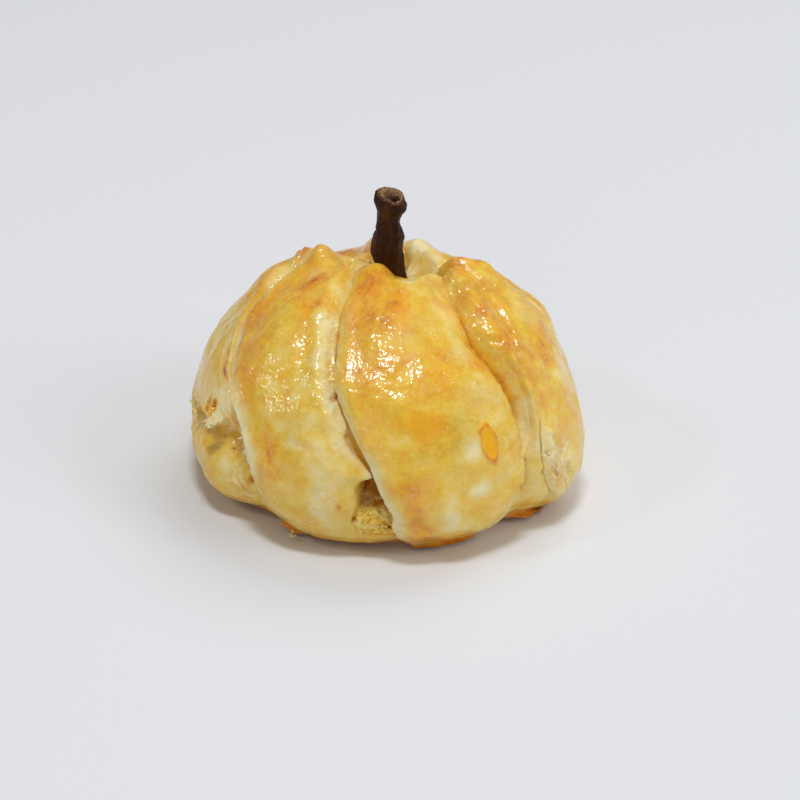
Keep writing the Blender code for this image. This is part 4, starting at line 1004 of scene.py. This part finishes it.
def make_stem():
    degrees = np.linspace(0, 360, STEM_SIDES, endpoint=False)
    shape = 1 - sum(depth * bell(turn_between(degrees, at) / width) for at, depth, width in STEM_GROOVES)
    height = np.linspace(STEM_RINGS[0, 0], STEM_RINGS[-1, 0], STEM_ROWS)
    side = np.stack([height] + [smooth_curve(STEM_RINGS[:, [0, i]], height) for i in (1, 2, 3)], axis=1)
    step = np.linspace(0, len(STEM_MOUTH) - 1, MOUTH_ROWS + 1)[1:]
    rise, part = (np.interp(step, range(len(STEM_MOUTH)), column) for column in STEM_MOUTH.T)
    high, across, back, half = STEM_RINGS[-1]
    across = across + STEM_MOUTH_ASIDE * (1 - part)
    top = np.stack([high + rise, across, back + 0 * step, half * part], axis=1)
    high, across, back, half = np.concatenate([side, top]).T[..., None]
    knobbles = np.sin(KNOBBLES_PER_TURN * np.radians(degrees) + KNOBBLE_TWIST * high)
    x, y = turned(half * (shape + KNOBBLE * knobbles), degrees)
    z = high + ramp(high, BROKEN_FROM, BROKEN_TO) * (BROKEN_SLOPE[0] * x + BROKEN_SLOPE[1] * y)
    rows = np.stack([x + across, y + back, z], axis=-1)
    in_mouth = np.clip((np.arange(len(rows)) - STEM_ROWS) / MOUTH_ROWS, 0, 1)[:, None] + 0 * x
    grain = 0.00022 * noise(rows * STEM_GRAIN_STRETCH, 0.0016, 3, 2) + 0.00012 * noise(rows, 0.0011, 5, 2)
    rows = rows + (grain * (1 + 1.2 * in_mouth))[..., None] * grid_normals(rows)
    tip = rows[0].mean(axis=0) - (0, 0, STEM_TIP)
    return closed_piece("stick", rows, tip, rows[-1].mean(axis=0), {"mouth": in_mouth})


# Apple filling, bottom to top: (height, half width). It swells into the pastry's gap at (middle, half width)
FILLING_RINGS = MM * np.array([
    (5.2, 30), (6, 36), (8.5, 39.5), (12.5, 41), (17, 41), (21.5, 40), (26, 37.8), (30.5, 34.2), (34.5, 29.5),
    (38, 23.5), (40.5, 16.5), (41.8, 9),
])
FILLING_SIDES, FILLING_ROWS = 420, 90
SWELL_DEGREES, SWELL_LEVEL, SWELL_HEIGHT = (-3.0, 16.0), (0.0135, 0.0085), 0.0050
# The filling is painted darker brown above these heights, as the shade in the top of the gap
FILLING_SHADE = (0.0130, 0.0185)  # it is browner above this height, in the top of the gap


def make_filling():
    degrees = np.linspace(0, 360, FILLING_SIDES, endpoint=False)
    height = np.linspace(FILLING_RINGS[0, 0], FILLING_RINGS[-1, 0], FILLING_ROWS)[:, None]
    away = turn_between(degrees, SWELL_DEGREES[0]) / SWELL_DEGREES[1]
    swell = SWELL_HEIGHT * bell(away, (height - SWELL_LEVEL[0]) / SWELL_LEVEL[1])
    x, y = turned(smooth_curve(FILLING_RINGS, height) + swell, degrees)
    rows = np.stack([x, y, height + 0 * x], axis=-1)
    crumbs = 0.0005 * noise(rows, 0.0030, 13, 3) + 0.0004 * blisters(rows, 0.0022, 17, 0.7)
    rows = rows + crumbs[..., None] * grid_normals(rows)
    # crumb follows the height of the crumbly surface, so its dips are painted darker, as their shade
    fields = {"crumb": np.clip(0.4 + crumbs / 0.0012, 0, 1), "deep": ramp(height, *FILLING_SHADE) + 0 * x}
    return closed_piece("apple", rows, (0, 0, FILLING_RINGS[0, 0]), (0, 0, FILLING_RINGS[-1, 0]), fields)


# Crumbly baked dough that slopes from the foot of the gap up over the filling: (share, height above the dome)
BED_SHARE, BED_DEGREES, BED_POINTS = (0.235, 0.378), (-13.0, 8.0), 150
BED_LIFT = (PERCENT, MM) * np.array([
    (23.5, -3.4), (26, -2.2), (29, -2.4), (32.5, -4.2), (37.8, -8.6),
])
BED_THICKNESS = 0.0016
# Stains of juice on it: (share, degrees, half width in degrees, half height)
STAINS = (PERCENT, 1, 1, PERCENT) * np.array([
    (28.8, 0.5, 2.6, 1), (27.2, 2.6, 1.8, 1), (35, 1.5, 2, 2), (30, -8.5, 1.2, 1.2),
])


def make_crumb_bed():
    share, degrees = (np.linspace(*ends, BED_POINTS) for ends in (BED_SHARE, BED_DEGREES))
    share, degrees = np.meshgrid(share, degrees, indexing="ij")
    lift = smooth_curve(BED_LIFT, share)
    places = on_pie(share, degrees, lift)
    lumps = 1.1 * noise(places, 0.0030, 127, 4) + 0.5 * blisters(places, 0.0012, 131, 0.75)
    pores = 0.8 * blisters(places, 0.0008, 137, 0.25) + 0.6 * blisters(places, 0.0018, 139, 0.20)
    rough = 0.00042 * lumps - 0.0007 * pores * ramp(share, 0.20, 0.25)
    top = on_pie(share, degrees, lift + rough)
    under = on_pie(share, degrees, lift + np.minimum(rough, 0) - BED_THICKNESS)
    stain = sum(bell((degrees - turn) / wide, (share - at) / tall) for at, turn, wide, tall in STAINS)
    stain = stain * (0.7 + 0.6 * noise(places, 0.0016, 149, 2))
    # The bed is lighter on its lumps and darker in its pores, as their painted shade, and darker where
    # stained
    crumb = np.clip(0.66 + 0.25 * lumps - 0.7 * pores - 0.3 * stain, 0, 1)
    # deep: painted shade in the bed's upper part, further into the gap, and the juice stains
    deep = np.clip(0.8 * ramp(share, 0.315, 0.345) + 0.8 * stain, 0, 1)
    rows = np.concatenate([top, under[:, ::-1]], axis=1)
    fields = {name: np.concatenate([v, v[:, ::-1]], axis=1) for name, v in (("crumb", crumb), ("deep", deep))}
    return closed_piece("crumb_bed", rows, rows[0].mean(axis=0), rows[-1].mean(axis=0), fields)


CRUMBS, CRUMB_SIZES = 90, (0.00012, 0.00032)
CRUMB_SHARES, CRUMB_DEGREES = (0.262, 0.33), (-7, 3)
CRUMB_REST = 0.0002  # how far above the smooth bed a crumb lies


def make_crumbs():
    """Loose crumbs that lie on the crumbly bed in the gap."""
    draw = np.random.default_rng(5)
    ball = bmesh.new()
    bmesh.ops.create_icosphere(ball, subdivisions=2, radius=1)
    shape = np.array([v.co for v in ball.verts])
    faces = np.array([[v.index for v in f.verts] for f in ball.faces])
    ball.free()
    points, tints = [], []
    for number in range(CRUMBS):
        share, degrees = np.array([draw.uniform(*CRUMB_SHARES)]), np.array([draw.uniform(*CRUMB_DEGREES)])
        size = draw.uniform(*CRUMB_SIZES)
        centre = on_pie(share, degrees, smooth_curve(BED_LIFT, share) + CRUMB_REST + 0.4 * size)[0]
        lumpy = shape * (1 + 0.45 * noise(shape + 7 * number, 0.9, 151, 2))[:, None]
        points.append(centre + lumpy * size * draw.uniform(0.7, 1.3, 3))
        tints.append(np.full(len(shape), draw.uniform(0.35, 1.0)))
    faces = np.concatenate([faces + len(shape) * number for number in range(CRUMBS)])
    fields = {"crumb": np.concatenate(tints), "deep": np.zeros(CRUMBS * len(shape))}
    return new_piece("crumbs", np.concatenate(points), faces.tolist(), fields)


# Thin flakes that stand up from the pastry: (share, degrees and height of the foot, half width, half length,
# turn in degrees, lean outwards in degrees, curl in degrees, bake, chalk)
FLAKES = (PERCENT, 1, MM, MM, MM, 1, 1, 1, PERCENT, PERCENT) * np.array([
    (44.2, -57, 0.4, 2, 2.7, 162, -12, 26, 10, 45), (38.4, -79, -0.1, 0.8, 0.9, 60, 20, 30, 10, 40),
    (39.2, -73.5, 0, 0.8, 1, 130, -16, 30, 20, 40), (20.5, -29, 0.6, 1.1, 0.7, 12, 25, 10, 10, 80),
])
FLAKE_THICKNESS, FLAKE_POINTS = 0.00022, 18
FLAKE_RAGGED, FLAKE_TAPER, FLAKE_APART = 0.7, 0.2, 3.1  # size of the edge's bumps, taper, step in the noise


def make_flakes():
    x, y = np.meshgrid(*[np.linspace(-1, 1, FLAKE_POINTS)] * 2)
    edge = np.clip(np.minimum(1 - np.abs(x), 1 - np.abs(y)) * 4, 0.25, 1)[..., None]
    points, faces, bakes, chalks = [], [], [], []
    for number, (at, turn, high, wide, tall, spin, lean, curl, bake, chalk) in enumerate(FLAKES):
        flat = np.stack([x, y, 0 * x + FLAKE_APART * number], axis=-1)
        ragged = (1 + 0.50 * noise(flat, FLAKE_RAGGED, 157, 3)) * (1 - FLAKE_TAPER * y)
        spin, lean, bend = np.radians(spin), np.radians(lean), np.radians(curl) * (y + 1) / 2
        a, b = x * wide * ragged, tall * ragged * (y + 1)
        out = FLAKE_THICKNESS * 1.5 * noise(flat, FLAKE_RAGGED, 163, 2) + b * np.sin(bend) / 2
        b = b * np.cos(bend / 2)
        side, up = a * np.cos(spin) - b * np.sin(spin), a * np.sin(spin) + b * np.cos(spin)
        up, out = up * np.cos(lean) - out * np.sin(lean), up * np.sin(lean) + out * np.cos(lean)
        centre, right, rise, normal = directions(at, turn, high)
        sheet = centre + side[..., None] * right + up[..., None] * rise + out[..., None] * normal
        half = normal * FLAKE_THICKNESS / 2 * edge
        points += [(sheet + half).reshape(-1, 3), (sheet - half).reshape(-1, 3)]
        faces.append(flake_faces() + 2 * x.size * number)
        bakes.append(np.full(2 * x.size, bake))
        chalks.append(np.full(2 * x.size, chalk))
    bake, chalk = np.concatenate(bakes), np.concatenate(chalks)
    fields = {"bake": bake, "olive": 0 * bake, "chalk": chalk, "amber": 0 * bake, "wash": 0 * bake}
    return new_piece("flakes", np.concatenate(points), np.concatenate(faces).tolist(), fields)


def flake_faces():
    """Faces of one closed thin sheet: its upper grid of points comes first, then the lower one."""
    ring = np.arange(FLAKE_POINTS**2).reshape(FLAKE_POINTS, FLAKE_POINTS)
    top = np.stack([ring[:-1, :-1], ring[:-1, 1:], ring[1:, 1:], ring[1:, :-1]], axis=-1).reshape(-1, 4)
    rim = np.concatenate([ring[0, :-1], ring[:-1, -1], ring[-1, :0:-1], ring[:0:-1, 0]])
    after, lower = np.roll(rim, -1), FLAKE_POINTS**2
    sides = np.stack([rim, rim + lower, after + lower, after], axis=-1)
    return np.concatenate([top, top[:, ::-1] + lower, sides])


# ----------------------------------------------------------------------------------------------------
# Materials


def linear(red, green, blue):
    """A colour given as 0 to 255 on screen, as the light that Blender counts in, with full alpha."""
    colour = (((c / 255 + 0.055) / 1.055) ** 2.4 if c > 10 else c / 255 / 12.92 for c in (red, green, blue))
    return (*colour, 1)


class Nodes:
    """Short ways to add shader nodes to a new material."""

    def __init__(self, name):
        self.material = bpy.data.materials.new(name)
        self.material.use_nodes = True
        self.tree = self.material.node_tree
        self.shader = self.tree.nodes["Principled BSDF"]
        self.place = self.new("TexCoord").outputs["Object"]

    def new(self, kind, **settings):
        node = self.tree.nodes.new("ShaderNode" + kind)
        for name, value in settings.items():
            setattr(node, name, value)
        return node

    def set(self, node, inputs):
        for name, value in inputs.items():
            if isinstance(value, bpy.types.NodeSocket):
                self.tree.links.new(value, node.inputs[name])
            else:
                node.inputs[name].default_value = value
        return node

    def field(self, name):
        return self.new("Attribute", attribute_name=name).outputs["Fac"]

    def noise(self, size, detail=2.0, roughness=0.5, stretch=None):
        place = self.place
        if stretch:
            place = self.set(self.new("Mapping"), {"Vector": place, "Scale": stretch}).outputs["Vector"]
        inputs = {"Vector": place, "Scale": 1 / size, "Detail": detail, "Roughness": roughness}
        return self.set(self.new("TexNoise"), inputs).outputs["Fac"]

    def math(self, operation, *values, clamp=False):
        node = self.new("Math", operation=operation, use_clamp=clamp)
        return self.set(node, dict(enumerate(values))).outputs[0]

    def span(self, value, low, high, to_low=0.0, to_high=1.0):
        """to_low where value is low, to_high where it is high, smooth between."""
        node = self.new("MapRange", interpolation_type="SMOOTHSTEP")
        inputs = {"Value": value, "From Min": low, "From Max": high, "To Min": to_low, "To Max": to_high}
        return self.set(node, inputs).outputs["Result"]

    def ramp(self, value, stops):
        node = self.set(self.new("ValToRGB"), {"Fac": value})
        elements = node.color_ramp.elements
        while len(elements) < len(stops):
            elements.new(0.5)
        for element, (at, colour) in zip(elements, stops):
            element.position = at
            element.color = linear(*colour)
        return node.outputs["Color"]

    def mix(self, amount, first, colour):
        """first where amount is 0, and the colour where it is 1."""
        if isinstance(colour, tuple):
            colour = linear(*colour)
        return self.set(self.new("Mix", data_type="RGBA"), {0: amount, 6: first, 7: colour}).outputs[2]

    def bump(self, height, distance, strength=1.0):
        inputs = {"Height": height, "Distance": distance, "Strength": strength}
        return self.set(self.new("Bump"), inputs).outputs["Normal"]


BAKED = [
    (0.00, (246, 230, 182)), (0.15, (246, 222, 140)), (0.40, (244, 200, 66)), (0.60, (242, 172, 38)),
    (0.78, (226, 136, 22)), (0.90, (200, 104, 12)), (1.00, (132, 62, 8)),
]
STICK = [(0.25, (32, 13, 3)), (0.5, (54, 26, 8)), (0.72, (88, 46, 20))]
# Broken top of the stem, from its rim to the middle of its hollow; the dark middle is painted shade at the
# bottom of the hollow
BROKEN_END = [
    (0.0, (66, 34, 14)), (0.20, (112, 74, 46)), (0.38, (168, 134, 98)), (0.52, (120, 84, 54)),
    (0.75, (52, 28, 14)), (1.0, (28, 13, 5)),
]
CRUMB = [(0.0, (150, 92, 8)), (0.22, (222, 164, 34)), (0.50, (254, 214, 96)), (1.0, (255, 240, 170))]
OLIVE, CHALK, AMBER, SPECKS = (204, 176, 66), (246, 234, 196), (253, 184, 12), (252, 236, 170)
# The last colour is the dark brown of the painted shade in the top of the gap, and of juice stains on the
# crumb bed
STICK_SPECKS, CRUMB_SPECKS, SHADE_AND_STAIN_BROWN = (132, 92, 60), (238, 206, 120), (160, 86, 0)


def pastry_material():
    nodes = Nodes("glazed_pastry")
    coarse, fine = nodes.noise(0.0042, 4.0, 0.65), nodes.noise(0.0011, 3.0, 0.65)
    blotches, spots = nodes.span(coarse, 0.32, 0.68, -0.09, 0.09), nodes.span(fine, 0.32, 0.68, -0.06, 0.06)
    bake = nodes.math("ADD", nodes.field("bake"), nodes.math("ADD", blotches, spots), clamp=True)
    olive = nodes.math("MULTIPLY", nodes.field("olive"), nodes.span(coarse, 0.2, 0.8, 0.35, 0.75))
    chalk = nodes.math("MULTIPLY", nodes.field("chalk"), nodes.span(fine, 0.32, 0.68, 0.15, 1.0))
    chalk = nodes.math("MULTIPLY", chalk, nodes.span(bake, 0.55, 0.85, 1.0, 0.25))
    specks = nodes.span(nodes.noise(0.0010, 3.0, 0.6), 0.50, 0.68)
    specks = nodes.math("MULTIPLY", specks, nodes.span(coarse, 0.45, 0.65, 0.0, 0.34))
    wash = nodes.math("MULTIPLY", nodes.field("wash"), nodes.span(coarse, 0.3, 0.6, 0.55, 1.0))
    colour = nodes.ramp(bake, BAKED)
    for amount, tint in ((olive, OLIVE), (chalk, CHALK), (specks, SPECKS), (nodes.field("amber"), AMBER)):
        colour = nodes.mix(amount, colour, tint)
    looks = {
        "Base Color": colour,
        "Roughness": nodes.span(wash, 0.0, 1.0, 0.62, 0.36),
        "Coat Weight": nodes.span(wash, 0.15, 0.9, 0.0, 0.9),
        "Coat Roughness": 0.10,
        "Coat IOR": 1.6,
        "Specular IOR Level": 0.3,
        "Subsurface Weight": 0.10,
        "Subsurface Scale": 0.0016,
        "Subsurface Radius": (1.0, 0.55, 0.25),
        "Normal": nodes.bump(nodes.noise(0.0014, 3.0), 0.00022),
        "Coat Normal": nodes.bump(nodes.noise(0.0011, 1.0), 0.00021),
    }
    nodes.set(nodes.shader, looks)
    return nodes.material


def stem_material():
    nodes = Nodes("dark_stick")
    grain, fine = nodes.noise(0.0024, 3.0, 0.6, (1, 1, 0.25)), nodes.noise(0.0006)
    colour = nodes.mix(nodes.span(fine, 0.66, 0.80, 0.0, 0.5), nodes.ramp(grain, STICK), STICK_SPECKS)
    mouth = nodes.math("ADD", nodes.field("mouth"), nodes.span(fine, 0.3, 0.7, -0.10, 0.10), clamp=True)
    colour = nodes.mix(nodes.span(nodes.field("mouth"), 0.01, 0.10), colour, nodes.ramp(mouth, BROKEN_END))
    height = nodes.math("ADD", nodes.noise(0.0009, 3.0, 0.6, (1, 1, 0.3)), fine)
    looks = {
        "Base Color": colour,
        "Roughness": nodes.span(grain, 0.3, 0.7, 0.44, 0.66),
        "Specular IOR Level": 0.18,
        "Normal": nodes.bump(height, 0.0002, 0.8),
    }
    nodes.set(nodes.shader, looks)
    return nodes.material


def filling_material():
    nodes = Nodes("baked_apple")
    coarse, fine = nodes.noise(0.0022, 3.0, 0.6), nodes.noise(0.0006, 3.0)
    crumb = nodes.math("ADD", nodes.field("crumb"), nodes.span(coarse, 0.25, 0.75, -0.18, 0.18), clamp=True)
    colour = nodes.mix(nodes.span(fine, 0.50, 0.72, 0.0, 0.45), nodes.ramp(crumb, CRUMB), CRUMB_SPECKS)
    # darker brown where deep is set: painted shade in the top of the gap, and juice stains on the crumb bed
    dark = nodes.math("MULTIPLY", nodes.field("deep"), nodes.span(coarse, 0.25, 0.70, 1.0, 0.75))
    looks = {
        "Base Color": nodes.mix(dark, colour, SHADE_AND_STAIN_BROWN),
        "Roughness": nodes.span(coarse, 0.3, 0.7, 0.50, 0.70),
        "Specular IOR Level": 0.08,
        "Subsurface Weight": 0.15,
        "Subsurface Scale": 0.0012,
        "Normal": nodes.bump(fine, 0.0003, 0.9),
    }
    nodes.set(nodes.shader, looks)
    return nodes.material


# ----------------------------------------------------------------------------------------------------
# Camera, floor and lights

CAMERA_DISTANCE = 0.691
CAMERA_PITCH, CAMERA_ROLL = math.radians(27.9), math.radians(2.2)
PICTURE = 800  # pixels, across and down
FOCAL_PIXELS = 2599.0
FRONT_PIXEL = (386.5, 465.0)  # where the middle of the base shows in the picture
SENSOR = 36.0


def add_camera():
    forward = Vector((0, math.cos(CAMERA_PITCH), -math.sin(CAMERA_PITCH)))
    level = Vector((1, 0, 0))
    upright = level.cross(forward)
    right = math.cos(CAMERA_ROLL) * level + math.sin(CAMERA_ROLL) * upright
    up = -math.sin(CAMERA_ROLL) * level + math.cos(CAMERA_ROLL) * upright
    metres = CAMERA_DISTANCE / FOCAL_PIXELS
    aim = right * (PICTURE / 2 - FRONT_PIXEL[0]) * metres + up * (FRONT_PIXEL[1] - PICTURE / 2) * metres
    eye = aim - forward * CAMERA_DISTANCE + Vector(PIE_AXIS)
    camera = linked("camera", bpy.data.cameras.new("camera"))
    camera.data.sensor_width, camera.data.lens = SENSOR, FOCAL_PIXELS * SENSOR / PICTURE
    camera.matrix_world = Matrix.Translation(eye) @ Matrix((right, up, -forward)).transposed().to_4x4()
    bpy.context.scene.camera = camera


# (name, degrees round, degrees up, then distance, width and height in metres, watts)
LIGHTS = [
    ("overhead", -10, 78, 1.8, 0.42, 0.26, 13.0),
    ("left", -68, 41, 1.8, 0.13, 0.17, 2.2),
    ("right_key", 95, 48, 1.8, 0.18, 0.18, 0.6),
    ("back", 150, 52, 2.0, 1.4, 1.1, 13.0),
    ("right", 70, 35, 2.2, 1.1, 1.1, 10.0),
    ("front", -10, 20, 2.4, 1.2, 0.9, 4.2),
]
LIGHT_COLOUR = (0.97, 0.985, 1.0)
LIGHTS_AIM = Vector((0, 0, 0.03))
UNSEEN_IN_GLAZE = ("back", "right", "front")  # these only light the pie and make no highlights
SURROUNDINGS, SURROUNDINGS_STRENGTH = (1.0, 0.95, 0.84, 1), 0.20


def add_lights():
    for name, azimuth, elevation, distance, width, height, watts in LIGHTS:
        data = bpy.data.lights.new(name, "AREA")
        data.shape, data.size, data.size_y, data.energy = "RECTANGLE", width, height, watts
        data.color = LIGHT_COLOUR
        light = linked(name, data)
        light.visible_glossy = name not in UNSEEN_IN_GLAZE
        a, e = math.radians(azimuth), math.radians(elevation)
        back = Vector((math.sin(a) * math.cos(e), -math.cos(a) * math.cos(e), math.sin(e)))
        light.location = back * distance + LIGHTS_AIM
        light.rotation_euler = back.to_track_quat("Z", "Y").to_euler()
    world = bpy.data.worlds.new("studio")
    world.use_nodes = True
    background = world.node_tree.nodes["Background"].inputs
    background["Color"].default_value = SURROUNDINGS
    background["Strength"].default_value = SURROUNDINGS_STRENGTH
    bpy.context.scene.world = world


FLOOR_HALF, FLOOR_COLOUR = 3.0, (0.785, 0.80, 0.845, 1)


def add_floor():
    mesh = bpy.data.meshes.new("floor")
    corners = [(x * FLOOR_HALF, y * FLOOR_HALF, 0) for x, y in ((-1, -1), (1, -1), (1, 1), (-1, 1))]
    mesh.from_pydata(corners, [], [(0, 1, 2, 3)])
    floor = linked("floor", mesh)
    nodes = Nodes("floor")
    nodes.set(nodes.shader, {"Base Color": FLOOR_COLOUR, "Roughness": 0.7})
    mesh.materials.append(nodes.material)


def dress(piece, material):
    """Gives a piece its material and its body."""
    piece.data.materials.append(material)
    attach(piece, "root")
    return piece


def main():
    for name in ("Cube", "Light", "Camera"):
        if name in bpy.data.objects:
            bpy.data.objects.remove(bpy.data.objects[name])
    bpy.context.scene.view_settings.view_transform = "Standard"
    add_camera()
    add_floor()
    add_lights()
    pastry, apple = pastry_material(), filling_material()
    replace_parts(dress(make_pastry(), pastry), "crust")
    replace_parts(dress(make_filling(), apple), "filling")
    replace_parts(dress(make_stem(), stem_material()), "stem")
    dress(make_crumb_bed(), apple)
    dress(make_crumbs(), apple)
    dress(make_flakes(), pastry)


main()
